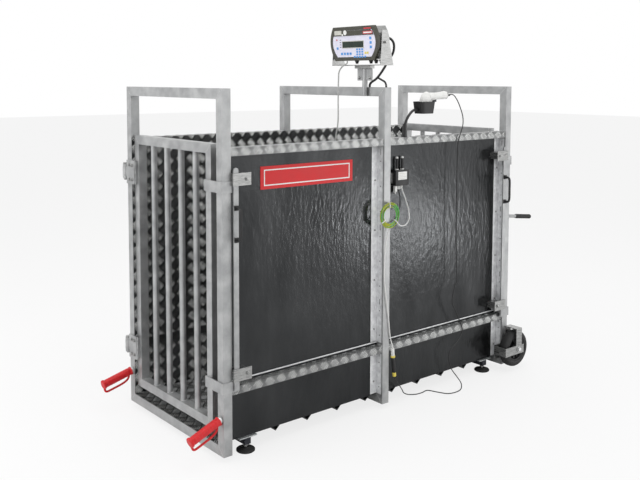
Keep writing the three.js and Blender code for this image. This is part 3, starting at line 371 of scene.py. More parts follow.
for corner in ("near_front", "far_front", "near_rear", "far_rear"):
    shownNodes[corner + "_load_cell"] = ("cellEnamel", 0.8)
    shownNodes[corner + "_foot"] = ("blackRubber", 0.8)
    shownNodes[corner + "_saddle"] = ("galvanised", 0.6)
for name, (kind, edge) in shownNodes.items():
    wear(nodes[name], kind)
    soften(nodes[name], edge)
print("frame nodes finished")


def smoothLine(points, steps):
    # a centripetal Catmull-Rom line through the points of a cord
    pts = [2 * points[0] - points[1]] + list(points) + [2 * points[-1] - points[-2]]
    line = []
    for i in range(1, len(pts) - 2):
        p0, p1, p2, p3 = pts[i - 1 : i + 3]
        t1 = (p1 - p0).length ** 0.5
        t2 = t1 + (p2 - p1).length ** 0.5
        t3 = t2 + (p3 - p2).length ** 0.5
        for k in range(steps):
            t = t1 + (t2 - t1) * k / steps
            a1 = (t1 - t) / t1 * p0 + t / t1 * p1
            a2 = (t2 - t) / (t2 - t1) * p1 + (t - t1) / (t2 - t1) * p2
            a3 = (t3 - t) / (t3 - t2) * p2 + (t - t2) / (t3 - t2) * p3
            b1 = (t2 - t) / t2 * a1 + t / t2 * a2
            b2 = (t3 - t) / (t3 - t1) * a2 + (t - t1) / (t3 - t1) * a3
            line.append((t2 - t) / (t2 - t1) * b1 + (t - t1) / (t2 - t1) * b2)
    return line + [points[-1]]


def tubeMesh(name, line, radius, sides=12, ribs=None):
    # a round cord along a line; ribs is how far every second ring is drawn in
    curve = bpy.data.curves.new(name + "Line", "CURVE")
    curve.dimensions = "3D"
    curve.bevel_depth = radius
    curve.bevel_resolution = max(0, sides // 4 - 1)
    curve.use_fill_caps = True
    spline = curve.splines.new("POLY")
    spline.points.add(len(line) - 1)
    for point, p in zip(spline.points, line):
        point.co = (*p, 1)
    if ribs:
        for i, point in enumerate(spline.points):
            point.radius = 1 if i % 2 else ribs
    holder = bpy.data.objects.new(name + "Line", curve)
    bpy.context.scene.collection.objects.link(holder)
    bpy.context.view_layer.update()
    mesh = bpy.data.meshes.new_from_object(holder.evaluated_get(bpy.context.evaluated_depsgraph_get()))
    bpy.data.objects.remove(holder)
    mesh.name = name
    obj = bpy.data.objects.new(name, mesh)
    bpy.context.scene.collection.objects.link(obj)
    mesh.polygons.foreach_set("use_smooth", [True] * len(mesh.polygons))
    return obj


# each cord's width, and the places it goes through from its piece to its far end
scannerCord = {
    "width": 5,
    "points": [
        (1341.3, 26, 1483), (1349, 26, 1483.5), (1364, 26, 1487), (1390, 25, 1485), (1415, 23, 1462),
        (1437, 18, 1420), (1448, 10, 1374), (1442, 4, 1333), (1420, 0, 1290), (1404, -1, 1254),
        (1397, -2, 1100), (1395, -2, 950), (1398, -2, 800), (1400, -2, 695), (1404, -3, 600),
        (1405, -4, 541), (1384, -5, 505), (1373, -5, 433), (1400, -4, 387), (1434, -4, 326),
        (1453, -4, 283), (1443, -4, 255), (1405, -4, 220), (1362, -4, 188), (1354, -5, 143),
        (1372, -6, 93), (1400, -16, 52), (1414, -34, 19), (1394, -55, 4.4), (1344, -76, 3.2),
        (1283, -66, 3.2), (1256, -18, 3.2), (1234, 30, 3.2), (1191, 26, 3.2), (1150, 30, 3.6),
        (1115, 44, 7), (1075, 36, 26), (1030, 10, 66), (985, -7, 112), (963, -8, 140), (962, -8, 149.5),
    ],
}
whiteLead = {
    "width": 5,
    "points": [
        (947.4, -8, 290.6), (946.5, -8, 299), (941, -7, 318), (934, -5.5, 345), (922, -5.5, 437),
        (903, -6, 549), (893, -6, 621), (891, -7, 700), (895, -9, 780), (907, -12, 840),
        (916, -13, 860), (916, -13, 867.5),
    ],
}
junctionLead = {
    "width": 5,
    "points": [
        (1036, 31, 1059.7), (1036, 31, 1051), (1042, 29, 1030), (1058, 23, 985), (1066, 12, 940),
        (1058, 0, 896), (1022, -10, 872), (988, -13, 874), (969.6, -13, 885), (963.9, -13, 889.7),
    ],
}
greyLead = {
    "width": 7,
    "points": [
        (815, 177, 1646.6), (815, 177.5, 1638), (811, 206, 1622), (810, 228, 1598), (810, 233, 1560),
        (810, 235, 1460), (811, 237, 1353), (813, 258, 1271), (815, 266, 1200), (816, 268, 1150),
    ],
}
conduitLine = {
    "width": 12,
    "points": [
        (875, -22, 1751), (889, -22, 1750.4), (905, -24, 1744), (922, -22, 1728), (929, -18, 1705),
        (926, -14, 1682), (918, -5, 1660), (907, 16, 1622), (904, 40, 1592), (902, 70, 1564),
        (900.5, 105, 1545), (900, 112, 1534), (900, 112, 1525.3),
    ],
}
branchLine = {
    "width": 10,
    "points": [(903, 62, 1570), (906, 40, 1560), (910, 20, 1549), (912, 14, 1534), (912, 14, 1525.3)],
}


def layCord(name, spec, steps, material, ribs=None):
    line = smoothLine(placed(spec["points"]), steps)
    obj = tubeMesh(name, line, spec["width"] / 2000, 12, ribs)
    obj.data.materials.append(finish[material])
    return obj, line


cordPiece, cordPath = layCord("scannerCord", scannerCord, 6, "blackJacket")
leadPiece, leadPath = layCord("whiteLead", whiteLead, 8, "whitePlastic")
junctionPiece, junctionPath = layCord("junctionLead", junctionLead, 8, "whitePlastic")
greyPiece, greyPath = layCord("greyLead", greyLead, 8, "greyJacket")
conduitPiece, conduitPath = layCord("flexConduit", conduitLine, 12, "blackNylon", 0.84)
branchPiece, branchPath = layCord("conduitBranch", branchLine, 12, "blackNylon", 0.8)
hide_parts("conduit")
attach(branchPiece, "frame")
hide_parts("scanner_cord")
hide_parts("white_lead")
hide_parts("junction_lead")
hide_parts("grey_cable")
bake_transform(cordPiece)
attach(leadPiece, "frame")
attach(junctionPiece, "frame")
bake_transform(greyPiece)
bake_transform(conduitPiece)
print("cords laid")


treadSpec = {
    "pitch": 60,  # between groups of bars that lean the same way
    "bars": 5,  # in a group
    "spacing": 8.5,
    "length": 41,
    "width": 4.4,
    "height": 1.7,
    "inset": 0.4,  # bars stop this far inside their panel
}


def meshPiece(name, shape, material):
    bmesh.ops.remove_doubles(shape, verts=shape.verts, dist=0.000005)
    mesh = bpy.data.meshes.new(name)
    shape.to_mesh(mesh)
    shape.free()
    obj = bpy.data.objects.new(name, mesh)
    bpy.context.scene.collection.objects.link(obj)
    mesh.materials.append(finish[material])
    return obj


def treadBar(shape, centre, angle, spec):
    # one raised bar: a long hexagon drawn in to a ridge
    made = bmesh.ops.create_circle(shape, cap_ends=True, segments=6, radius=1)["verts"]
    bmesh.ops.scale(shape, vec=(spec["length"] / 2, spec["width"] / 1.73, 1), verts=made)
    base = made[0].link_faces[0]
    top = bmesh.ops.extrude_face_region(shape, geom=[base], use_keep_orig=True)["geom"]
    topVerts = [v for v in top if isinstance(v, bmesh.types.BMVert)]
    bmesh.ops.scale(shape, vec=(0.8, 0.2, 1), verts=topVerts)
    bmesh.ops.translate(shape, vec=(0, 0, spec["height"]), verts=topVerts)
    every = list(made) + topVerts
    bmesh.ops.rotate(shape, cent=(0, 0, 0), matrix=Matrix.Rotation(angle, 3, "Z"), verts=every)
    bmesh.ops.translate(shape, vec=(centre[0], centre[1], 0), verts=every)


def treadTile(spec, groups):
    # each group is its place in the tile and the way its bars lean
    tile = bmesh.new()
    half = (spec["bars"] - 1) / 2
    for share, degrees in groups:
        lean = math.radians(degrees)
        for i in range(spec["bars"]):
            off = (i - half) * spec["spacing"]
            centre = (
                share * spec["pitch"] - math.sin(lean) * off,
                share * spec["pitch"] + math.cos(lean) * off,
            )
            treadBar(tile, centre, lean, spec)
    return tile


treadMeshes = {}
# bars that lean one way wear the painted highlight finish, bars that lean the other way the painted shade
# finish
for finishName, groups in {"litTreadBars": ((0.25, 45),), "treadShade": ((0.75, -45),)}.items():
    treadMeshes[finishName] = bpy.data.meshes.new(finishName)
    tileShape = treadTile(treadSpec, groups)
    tileShape.to_mesh(treadMeshes[finishName])
    tileShape.free()


def treadPanel(name, origin, along, across, size):
    # bars over a rectangle: origin is a corner, along and across its directions, size in millimetres
    for finishName in treadMeshes:
        treadLayer(name + finishName.title(), origin, along, across, size, finishName)


def treadLayer(name, origin, along, across, size, finishName):
    shape = bmesh.new()
    step, inset = treadSpec["pitch"], treadSpec["inset"]
    for i in range(math.ceil(size[0] / step)):
        for k in range(math.ceil(size[1] / step)):
            before = len(shape.verts)
            shape.from_mesh(treadMeshes[finishName])
            shape.verts.ensure_lookup_table()
            bmesh.ops.translate(shape, vec=(i * step, k * step, 0), verts=shape.verts[before:])
    borders = (
        ((inset, 0, 0), (-1, 0, 0)), ((size[0] - inset, 0, 0), (1, 0, 0)),
        ((0, inset, 0), (0, -1, 0)), ((0, size[1] - inset, 0), (0, 1, 0)),
    )
    for point, normal in borders:
        whole = shape.verts[:] + shape.edges[:] + shape.faces[:]
        bmesh.ops.bisect_plane(
            shape, geom=whole, dist=0.0001, plane_co=point, plane_no=normal, clear_outer=True,
        )
        bmesh.ops.holes_fill(shape, edges=[e for e in shape.edges if e.is_boundary], sides=12)
    turn = turnTo(Vector(along), Vector(across), Vector(along).cross(Vector(across)))
    whole = Matrix.Translation(place(*origin)) @ turn @ Matrix.Scale(0.001, 4)
    bmesh.ops.transform(shape, matrix=whole, verts=shape.verts)
    obj = meshPiece(name, shape, finishName)
    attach(obj, "frame")


sheetBars = {"Wall": (317, 971), "Skirt": (crate["floor"], 236)}  # base and height of each sheet's bars
for level, (base, high) in sheetBars.items():
    farSheet = crate["width"] - crate["sheet"]
    size = (crate["length"], high)
    treadPanel("near" + level + "Bars", (crate["length"], crate["sheet"], base), (-1, 0, 0), (0, 0, 1), size)
    treadPanel("far" + level + "Bars", (0, farSheet, base), (1, 0, 0), (0, 0, 1), size)
treadPanel("floorBars", (0, 47, crate["floor"]), (1, 0, 0), (0, 1, 0), (crate["length"], 712))

# Y of the first bars on each lip's top and of its outer side, and the way its outer side runs
lips = {"near": (7.6, 7.0, 1), "far": (761.4, 799.0, -1)}
lipTop = 37
lipDrop = 33
lipCover = 0.3  # thickness of the lips' lighter sheet, which carries a painted highlight
for side, (innerY, outerY, way) in lips.items():
    for level, top in crate["tops"].items():
        for bay, (x0, x1) in crate["bays"].items():
            name = side + bay + level.title()
            start = x0 if way > 0 else x1
            over = top + lipCover
            treadPanel(name + "LipTop", (x0, innerY, over), (1, 0, 0), (0, 1, 0), (x1 - x0, lipTop))
            under = top - lipDrop - 0.5
            treadPanel(name + "LipFace", (start, outerY, under), (way, 0, 0), (0, 0, 1), (x1 - x0, lipDrop))
print("tread plate done")


def drawBlock(shape, low, high):
    # a box between two corners, in millimetres
    made = bmesh.ops.create_cube(shape, size=1)["verts"]
    span = [high[i] - low[i] for i in range(3)]
    middle = [(high[i] + low[i]) / 2 for i in range(3)]
    bmesh.ops.scale(shape, vec=span, verts=made)
    bmesh.ops.translate(shape, vec=middle, verts=made)
    return made


def drawRound(shape, start, end, radius, sides=24, endRadius=None):
    # a bar from one point to another, in millimetres
    start, end = Vector(start), Vector(end)
    along = end - start
    made = bmesh.ops.create_cone(
        shape, cap_ends=True, segments=sides, radius1=radius,
        radius2=radius if endRadius is None else endRadius, depth=along.length,
    )["verts"]
    turn = Vector((0, 0, 1)).rotation_difference(along.normalized()).to_matrix().to_4x4()
    bmesh.ops.transform(shape, matrix=Matrix.Translation((start + end) / 2) @ turn, verts=made)
    return made


def drawTurned(shape, profile, centre, axis, steps=64):
    # a closed profile of (radius, distance along the axis) spun round the axis
    axis = Vector(axis)
    side = axis.orthogonal().normalized()
    verts = [shape.verts.new(Vector(centre) + side * r + axis * d) for r, d in profile]
    edges = [shape.edges.new((a, b)) for a, b in zip(verts, verts[1:] + verts[:1])]
    bmesh.ops.spin(
        shape, geom=verts + edges, cent=centre, axis=axis, dvec=(0, 0, 0), angle=math.tau,
        steps=steps, use_merge=True, use_duplicate=False,
    )


def roundEdges(shape, width, segments=2, angle=30):
    sharp = [e for e in shape.edges if len(e.link_faces) == 2 and e.calc_face_angle(0) > math.radians(angle)]
    bmesh.ops.bevel(
        shape, geom=sharp, offset=width, segments=segments, profile=0.5, affect="EDGES", material=-1,
        clamp_overlap=True,
    )


def finishPiece(name, shape, body, material, edge=0.6, replaced=()):
    # a drawn shape becomes a piece on the crate, with rounded edges if edge is given
    bmesh.ops.remove_doubles(shape, verts=shape.verts, dist=0.01)
    bmesh.ops.recalc_face_normals(shape, faces=shape.faces)
    if edge:
        roundEdges(shape, edge)
    whole = Matrix.Translation(crateCorner) @ Matrix.Scale(0.001, 4)
    bmesh.ops.transform(shape, matrix=whole, verts=shape.verts)
    obj = meshPiece(name, shape, material)
    obj.data.polygons.foreach_set("use_smooth", [True] * len(obj.data.polygons))
    obj.data.set_sharp_from_angle(angle=math.radians(34))
    if replaced:
        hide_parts(*replaced)
    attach(obj, body)


def boltGroup(name, spots, facing, body, radius):
    # dished washer and hexagon head at each spot, with a domed end
    shape = bmesh.new()
    facing = Vector(facing)
    washer, head = 1.6, radius * 0.7
    for spot in spots:
        spot = Vector(spot)
        drawRound(shape, spot, spot + facing * washer, radius * 1.35, 20)
        drawRound(shape, spot + facing * washer, spot + facing * (washer + head), radius, 6)
        drawRound(shape, spot + facing * 2, spot + facing * (3 + head), radius * 0.62, 16, radius * 0.45)
    finishPiece(name, shape, body, "groundStainless", 0.5)


def beadRow(shape, start, end, radius, spacing=3.2):
    # overlapping ripples of a weld, slightly uneven
    start, end = Vector(start), Vector(end)
    count = max(2, int((end - start).length / spacing))
    for i in range(count + 1):
        spot = start.lerp(end, i / count)
        made = bmesh.ops.create_icosphere(shape, subdivisions=1, radius=radius)["verts"]
        size = 0.9 + 0.25 * noise.noise(spot * 0.31)
        bmesh.ops.scale(shape, vec=(size, size, size), verts=made)
        bmesh.ops.translate(shape, vec=spot, verts=made)


def weldPiece(name, rows, radius):
    shape = bmesh.new()
    for start, end in rows:
        beadRow(shape, start, end, radius)
    finishPiece(name, shape, "frame", "weldMetal", 0)


def ringOf(centre, radius, count=10):
    x, y, z = centre
    angles = [math.tau * i / count for i in range(count + 1)]
    return [(x + radius * math.cos(angle), y + radius * math.sin(angle), z) for angle in angles]


def hoopWelds(name, x):
    # a mitred weld on both sides of each corner
    rows = []
    first, last = 3, crate["tube"] - 3
    for face in (x - 0.1, x + crate["tube"] + 0.1):
        for y, inY in ((0, 1), (crate["width"], -1)):
            for z, inZ in zip(crate["rails"], (1, -1)):
                start = (face, y + inY * first, z + inZ * first)
                rows.append((start, (face, y + inY * last, z + inZ * last)))
    weldPiece(name + "HoopWelds", rows, 1.5)


for name, x in crate["hoops"].items():
    hoopWelds(name, x)


def lipWelds(side, y, inY):
    # short beads where the folded lips meet the posts
    rows = []
    hoops, tube = crate["hoops"], crate["tube"]
    for top in crate["tops"].values():
        for x in (hoops["front"] + tube, hoops["middle"], hoops["middle"] + tube, hoops["rear"]):
            rows.append(((x, y, top - 32), (x, y, top - 2)))
            rows.append(((x, y, top), (x, y + inY * 30, top)))
    weldPiece(side + "LipWelds", rows, 2.4)


lipWelds("near", 8.5, 1)
lipWelds("far", 797.5, -1)

gate = {
    "bars": {"count": 4, "middle": 429, "pitch": 120, "ends": (150, 1260), "weldRing": 14},
    "corners": ((101, 1), (757, -1)),  # Y of each side, and the way in from it
    "levels": ((110, 1), (1300, -1)),
    "leaves": (296, 1128),  # middles of the hinge leaves
    "straps": (313, 1132),  # middles of the lock straps
}


def gateWelds(end):
    # a bead round each bar, across the corners and along the leaves and straps
    def along(x):  # the rear gate mirrors the front one
        return x if end == "front" else crate["length"] - x

    shape = bmesh.new()
    bars = gate["bars"]
    for i in range(bars["count"]):
        y = bars["middle"] + (i - (bars["count"] - 1) / 2) * bars["pitch"]
        for z in bars["ends"]:
            ring = ringOf((along(32), y, z), bars["weldRing"])
            for a, b in zip(ring, ring[1:]):
                beadRow(shape, a, b, 1.9, 4)
    for y, inY in gate["corners"]:
        for z, inZ in gate["levels"]:
            start = (along(11.8), y + inY * 2, z + inZ * 2)
            beadRow(shape, start, (along(11.8), y + inY * 38, z + inZ * 38), 1.4)
    for z in gate["leaves"]:
        beadRow(shape, (along(-1), 731, z - 52), (along(-1), 731, z + 52), 2.6)
    for z in gate["straps"]:
        beadRow(shape, (along(-1), 128, z - 21), (along(-1), 128, z + 21), 2.6)
    finishPiece(end + "GateWelds", shape, end + "_gate", "weldMetal", 0)


gateWelds("front")
gateWelds("rear")

# Y of the strip behind each joint of wall and skirt, and of the wall's hem
seams = {
    "near": {"strip": (48.3, 50.3), "hem": (39.4, 41.8)},
    "far": {"strip": (755.7, 757.7), "hem": (764.2, 766.6)},
}


def seamPieces(side, seam):
    shape = bmesh.new()
    drawBlock(shape, (2, seam["strip"][0], 296), (crate["length"] - 2, seam["strip"][1], 331))
    finishPiece(side + "SeamStrip", shape, "frame", "treadFace", 0.4)
    hem = bmesh.new()
    for x0, x1 in crate["bays"].values():
        drawBlock(hem, (x0, seam["hem"][0], 317), (x1, seam["hem"][1], 323))
    finishPiece(side + "WallHem", hem, "frame", "zincAndHighlight", 0.8)


for side, seam in seams.items():
    seamPieces(side, seam)

# Y of the lighter sheet on each lip, a painted highlight: down its outer side, and over its top
paintedLipSides = {"near": ((7.0, 7.3), (7.0, 45)), "far": ((798.7, 799.0), (761, 799.0))}


def paintedLipSheets(side, face, flange):
    for level, top in crate["tops"].items():
        shape = bmesh.new()
        over = top + lipCover
        for x0, x1 in crate["bays"].values():
            low, high = x0 - 0.4, x1 + 0.4
            drawBlock(shape, (low, face[0], top - lipDrop - 1), (high, face[1], over))
            drawBlock(shape, (low, flange[0], top), (high, flange[1], over))
        finishPiece(side + level.title() + "LipSheet", shape, "frame", "lipFace", 0)


for side, (face, flange) in paintedLipSides.items():
    paintedLipSheets(side, face, flange)


def perforatedStrip(name, x, low, high):
    # a slotted strip on the post's front side, held by a few bolts; its near-white tone is a painted
    # highlight for the light on that recessed face
    shape = bmesh.new()
    drawBlock(shape, (x - 1.9, 9.5, low), (x - 0.2, 40.5, high))
    finishPiece(name, shape, "frame", "zincAndHighlight", 0.5)
    slots = bmesh.new()
    step = 118  # between the round holes
    count = int((high - low - 60) / step)
    for i in range(count + 1):
        z = low + 34 + i * step
        drawRound(slots, (x - 2.2, 22, z), (x - 1.7, 22, z), 2.6, 14)
        if i % 3 == 1:
            drawBlock(slots, (x - 2.2, 20.6, z + 30), (x - 1.7, 23.4, z + 56))
    finishPiece(name + "Slots", slots, "frame", "blackNylon", 0)


def paintedReflectionStrip(name, x, low, high):
    # a bright flat strip on the sheet beside the post, a painted reflection of the post's bright front face
    # mirrored in the sheet
    shape = bmesh.new()
    drawBlock(shape, (x - 41, 40.6, low), (x - 0.4, 41.9, high))
    finishPiece(name, shape, "frame", "zincAndHighlight", 0.4)
    heads = [(x - 20, 40.5, z) for z in range(int(low) + 60, int(high), 236)]
    boltGroup(name + "Screws", heads, (0, -1, 0), "frame", 3.4)


posts = [(post, crate["hoops"][post]) for post in ("middle", "rear")]
for post, x in posts:
    paintedReflectionStrip(post + "MirroredPostStrip", x, 325, 1252)
    paintedReflectionStrip(post + "SkirtCover", x, 72, 270)
for kind, low, high in (("PostStrip", 322, 1252), ("SkirtStrip", 72, 268)):
    for post, x in posts:
        perforatedStrip(post + kind, x, low, high)

# places and facing of each group of bolts, and the body it rides on
leafSpots = [(y, z + dz) for z in gate["leaves"] for y in (752, 778) for dz in (-34, 34)]
guideLevels = (361, 1162)
bolts = {
    "frontLeafBolts": ([(-6.5, y, z) for y, z in leafSpots], (-1, 0, 0), "front_gate"),
    "rearLeafBolts": ([(1830.5, y, z) for y, z in leafSpots], (1, 0, 0), "rear_gate"),
    "frontGuideBolts": ([(106, -19.3, z) for z in guideLevels], (0, -1, 0), "frame"),
    "rearGuideBolts": ([(1718, -19.3, z) for z in guideLevels], (0, -1, 0), "frame"),
    "wingBolts": ([(875.5, 86, 1570), (875.5, 158, 1570)], (-1, 0, 0), "frame"),
}
for name, (spots, facing, body) in bolts.items():
    boltGroup(name, spots, facing, body, 6.5)
print("welds, strips and bolts done")

# outlines are (radius, distance along the axle) from the middle of the wheel
wheel = {
    "at": (1830, 118),  # X and Z of the axle
    "sides": {"near": (-15, -65), "far": (821, 871)},  # Y of the inner and outer face
    "tyre": [
        (62.4, -20), (78, -25), (86, -24.2), (92, -21), (96, -15), (97.8, -8), (97.8, 8), (96, 15), (92, 21),
        (86, 24.2), (78, 25), (62.4, 20),
    ],
    "ring": [(70, 23.6), (72.4, 25.4), (74.8, 25.2), (75, 23.4)],
    "hub": [
        (9, -22), (21, -22), (24, -7), (56, -6), (58, -20), (62, -20), (62, 20), (58, 20), (56, 6), (24, 7),
        (21, 22), (9, 22),
    ],
    "ribs": 10,
    "nutOut": 14.6,  # from the outer face out to the axle's washer
}


def wheelPieces(side, inner, outer):
    x, z = wheel["at"]
    body = side + "_wheel"
    centre = (x, (inner + outer) / 2, z)
    out = 1 if outer > inner else -1
    axis = (0, out, 0)
    tyre = bmesh.new()
    drawTurned(tyre, wheel["tyre"], centre, axis, 72)
    finishPiece(side + "TyreBody", tyre, body, "blackRubber", 0, (side + "_tyre",))
    tyreLine = bmesh.new()
    drawTurned(tyreLine, wheel["ring"], centre, axis, 72)
    finishPiece(side + "TyreRing", tyreLine, body, "blackNylon", 0)
    rim = bmesh.new()
    drawTurned(rim, wheel["hub"], centre, axis, 64)
    for i in range(wheel["ribs"]):
        angle = math.tau * i / wheel["ribs"]
        across = Vector((math.cos(angle), 0, math.sin(angle)))
        rib = drawBlock(rim, (20, -15, -2.2), (58, 15, 2.2))
        turn = turnTo(across, Vector((0, 1, 0)), across.cross(Vector((0, 1, 0))))
        bmesh.ops.transform(rim, matrix=Matrix.Translation(centre) @ turn, verts=rib)
    finishPiece(side + "WheelHub", rim, body, "blackNylon", 0.6, (side + "_rim",))
    cap = bmesh.new()
    face = outer + out * wheel["nutOut"]
    for low, high, radius, sides, tip in ((0, 2, 15, 32, 15), (2, 8, 11.5, 6, 11.5), (8, 10, 9, 24, 5)):
        drawRound(cap, (x, face + out * low, z), (x, face + out * high, z), radius, sides, tip)
    finishPiece(side + "AxleNut", cap, "frame", "zincAndHighlight", 0.6)


for side, (inner, outer) in wheel["sides"].items():
    wheelPieces(side, inner, outer)

foot = {
    "at": {
        "near_front": (142, 51), "far_front": (142, 755), "near_rear": (1682, 51), "far_rear": (1682, 755),
    },
    "pad": [
        (0.01, 0), (37, 0), (40, 2.5), (40, 8), (37, 11), (30, 12.5), (17, 15.5), (15, 17.5), (0.01, 17.5),
    ],
    "threadFrom": 12,
    "threads": 14,
    "threadPitch": 1.42,
}


def footPieces(corner, x, y):
    # a turned pad and a threaded stem with its lock nut
    pad = bmesh.new()
    drawTurned(pad, foot["pad"], (x, y, 0), (0, 0, 1), 48)
    finishPiece(corner + "FootPad", pad, "frame", "blackRubber", 0, (corner + "_foot",))
    stem = bmesh.new()
    for i in range(foot["threads"]):
        z = foot["threadFrom"] + i * foot["threadPitch"]
        drawRound(stem, (x, y, z), (x, y, z + 0.75), 5.2, 20, 6)
        drawRound(stem, (x, y, z + 0.75), (x, y, z + 1.5), 6, 20, 5.2)
    drawRound(stem, (x, y, 22.5), (x, y, 31.6), 11, 6)
    finishPiece(corner + "FootStem", stem, "frame", "groundStainless", 0)


for corner, (x, y) in foot["at"].items():
    footPieces(corner, x, y)
print("wheels and feet done")

grip = {
    "sides": {"near": (21, 21.5), "far": (785, 14.5)},  # Y, and degrees down from level
    "height": 180,
    "ribs": 9,
    "ribPitch": 13,
    "guard": [  # places of the finger guard: distance out along the grip, and drop below it
        (24, 9), (26, 18), (31, 27), (40, 34), (52, 38), (72, 40.5), (100, 41), (130, 41), (146, 40),
        (154, 35), (155.5, 24), (155.5, 12),
    ],
}


def gripPieces(side, y, slopeDegrees):
    slope = math.radians(slopeDegrees)

    def at(distance, drop=0):
        return Vector((
            -math.cos(slope) * distance + math.sin(slope) * drop, y,
            grip["height"] - math.sin(slope) * distance - math.cos(slope) * drop,
        ))

    along = (at(1) - at(0)).normalized()
    sleeve = bmesh.new()
    profile = [(11.4, 10), (19.5, 10), (19.5, 15), (17.2, 17)]
    for i in range(grip["ribs"]):
        start = 24 + i * grip["ribPitch"]
        profile += [(17.6, start), (18.5, start + 2), (18.5, start + 9), (17.6, start + 11)]
    profile += [(18, 146), (21.5, 150), (21.5, 158), (18, 160), (11.4, 160)]
    drawTurned(sleeve, profile, at(0), along, 40)
    drawRound(sleeve, at(150), at(159.4), 15, 32)
    finishPiece(side + "GripSleeve", sleeve, "frame", "redRubber", 0, (side + "_grip",))
    line = smoothLine(placed([at(*spot) for spot in grip["guard"]]), 5)
    bar = tubeMesh(side + "GripGuard", line, 0.005, 16)
    bar.data.materials.append(finish["redRubber"])
    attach(bar, "frame")
    collar = bmesh.new()
    drawTurned(collar, [(11.3, 0.5), (15.5, 0.5), (15.5, 8.5), (11.3, 8.5)], at(0), along, 32)
    finishPiece(side + "GripCollar", collar, "frame", "weldMetal", 0.4)


for side, (y, slopeDegrees) in grip["sides"].items():
    gripPieces(side, y, slopeDegrees)

# the indicator's face: its middle and its directions, from the keypad film
keypadLow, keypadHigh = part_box("indicator_keypad")
keypadVerts = [v.co for v in nodes["indicator_keypad"].data.vertices]
footX = min(v.x for v in keypadVerts if v.z < keypadLow.z + 0.012)
headX = min(v.x for v in keypadVerts if v.z > keypadHigh.z - 0.012)
faceFoot = Vector((footX, (keypadLow.y + keypadHigh.y) / 2, keypadLow.z))
faceHead = Vector((headX, faceFoot.y, keypadHigh.z))
faceUp = (faceHead - faceFoot).normalized()
faceMiddle = (faceFoot + faceHead) / 2
faceRight = Vector((0, -1, 0))
faceOut = faceUp.cross(faceRight)
if faceOut.x > 0:
    faceOut = -faceOut
rimLift = 3.2  # the bezel's rim stands this far in front of the film


def onFace(name, shape, material, edge=0.3):
    # a piece drawn in millimetres right, up and out of the film, set on the indicator's face
    bmesh.ops.recalc_face_normals(shape, faces=shape.faces)
    if edge:
        roundEdges(shape, edge)
    turn = turnTo(faceRight, faceUp, faceOut)
    whole = Matrix.Translation(faceMiddle) @ turn @ Matrix.Scale(0.001, 4)
    bmesh.ops.transform(shape, matrix=whole, verts=shape.verts)
    obj = meshPiece(name, shape, material)
    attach(obj, "indicator")


def faceBlocks(name, blocks, material, low=0.0, high=0.8, edge=0.3):
    # each block is (right, up, width, height) of its middle
    shape = bmesh.new()
    for right, up, width, height in blocks:
        corner = (right + width / 2, up + height / 2, high)
        drawBlock(shape, (right - width / 2, up - height / 2, low), corner)
    onFace(name, shape, material, edge)


def bezelBand():
    # the bezel's deep upper band, wider at its foot as the outline is
    shape = bmesh.new()
    corners = [(-118, 61), (118, 61), (139, 37), (-139, 37)]
    verts = [shape.verts.new((right, up, -0.2)) for right, up in corners]
    base = shape.faces.new(verts)
    raised = bmesh.ops.extrude_face_region(shape, geom=[base])["geom"]
    front = [v for v in raised if isinstance(v, bmesh.types.BMVert)]
    bmesh.ops.translate(shape, vec=(0, 0, rimLift), verts=front)
    onFace("bezelBand", shape, "oliveBezel", 0.8)


bezelBand()
faceBlocks("displayFrame", [(-6, -4, 151, 35)], "labelGrey", 0, 0.5)
faceBlocks("displayWindow", [(-6, -4, 144, 28)], "displayGlass", 0.5, 1.0)
statusMarks = [(-92, 2 + i * 11, 9, 3) for i in (-1.5, -0.5, 0.5, 1.5)]
faceBlocks("statusMarks", statusMarks, "blackNylon", 0, 0.5, 0)
sideKeys = [(-114, -20, 13, 11), (114, 22, 13, 12), (115, 2, 13, 12), (115, -18, 13, 12)]
lowerKeys = [(-84 + i * 20, -46, 13, 11) for i in range(4)]
faceBlocks("blueKeys", sideKeys + lowerKeys, "keyBlue")
numberKeys = [(22 + i * 17.5, -27 - k * 11.5, 11, 8) for i in range(3) for k in range(4)]
faceBlocks("numberKeys", numberKeys + [(4, -61, 11, 8), (76, -61, 11, 8)], "keyBlue")
faceBlocks("yellowKeys", [(78, -44, 11, 9), (93, -44, 11, 9)], "keyYellow")
faceBlocks("statusLight", [(-117, 19, 7, 7)], "inkRed", 0, 1.4)
faceBlocks("bezelLabel", [(-104, 52, 50, 20)], "labelGrey", rimLift - 0.3, rimLift + 0.4)
faceBlocks("bezelBadge", [(99, 67, 48, 6)], "inkRed", rimLift - 0.2, rimLift + 0.5)
faceBlocks("bezelBar", [(100, 48, 62, 13)], "inkRed", rimLift - 0.3, rimLift + 0.4)
faceBlocks("bezelBarLine", [(100, 48, 54, 6)], "whitePlastic", rimLift + 0.3, rimLift + 0.6)


def bezelDisc():
    # a round emblem field and a small square, both plain
    shape = bmesh.new()
    drawRound(shape, (-54, 52, rimLift - 0.3), (-54, 52, rimLift + 0.6), 11.5, 32)
    drawBlock(shape, (-78, 37.5, rimLift - 0.3), (-68, 46, rimLift + 0.4))
    onFace("bezelDisc", shape, "whitePlastic", 0.2)


bezelDisc()


gland = {"x": 846, "y": (-22, 12, 46, 142), "levels": (1652, 1644, 1634)}


def glandGroup():
    # hexagon glands with tapered ends in a row under the indicator's front
    shape = bmesh.new()
    x, (top, neck, tip) = gland["x"], gland["levels"]
    for y in gland["y"]:
        drawRound(shape, (x, y, top), (x, y, neck), 11, 6)
        drawRound(shape, (x, y, neck), (x, y, tip), 8.5, 24, 6)
    finishPiece("underGlands", shape, "indicator", "blackNylon", 0.5)


glandGroup()
print("grips and indicator done")

sign = {"x": (233, 711), "z": (1116, 1185), "front": 39.8, "line": 5}


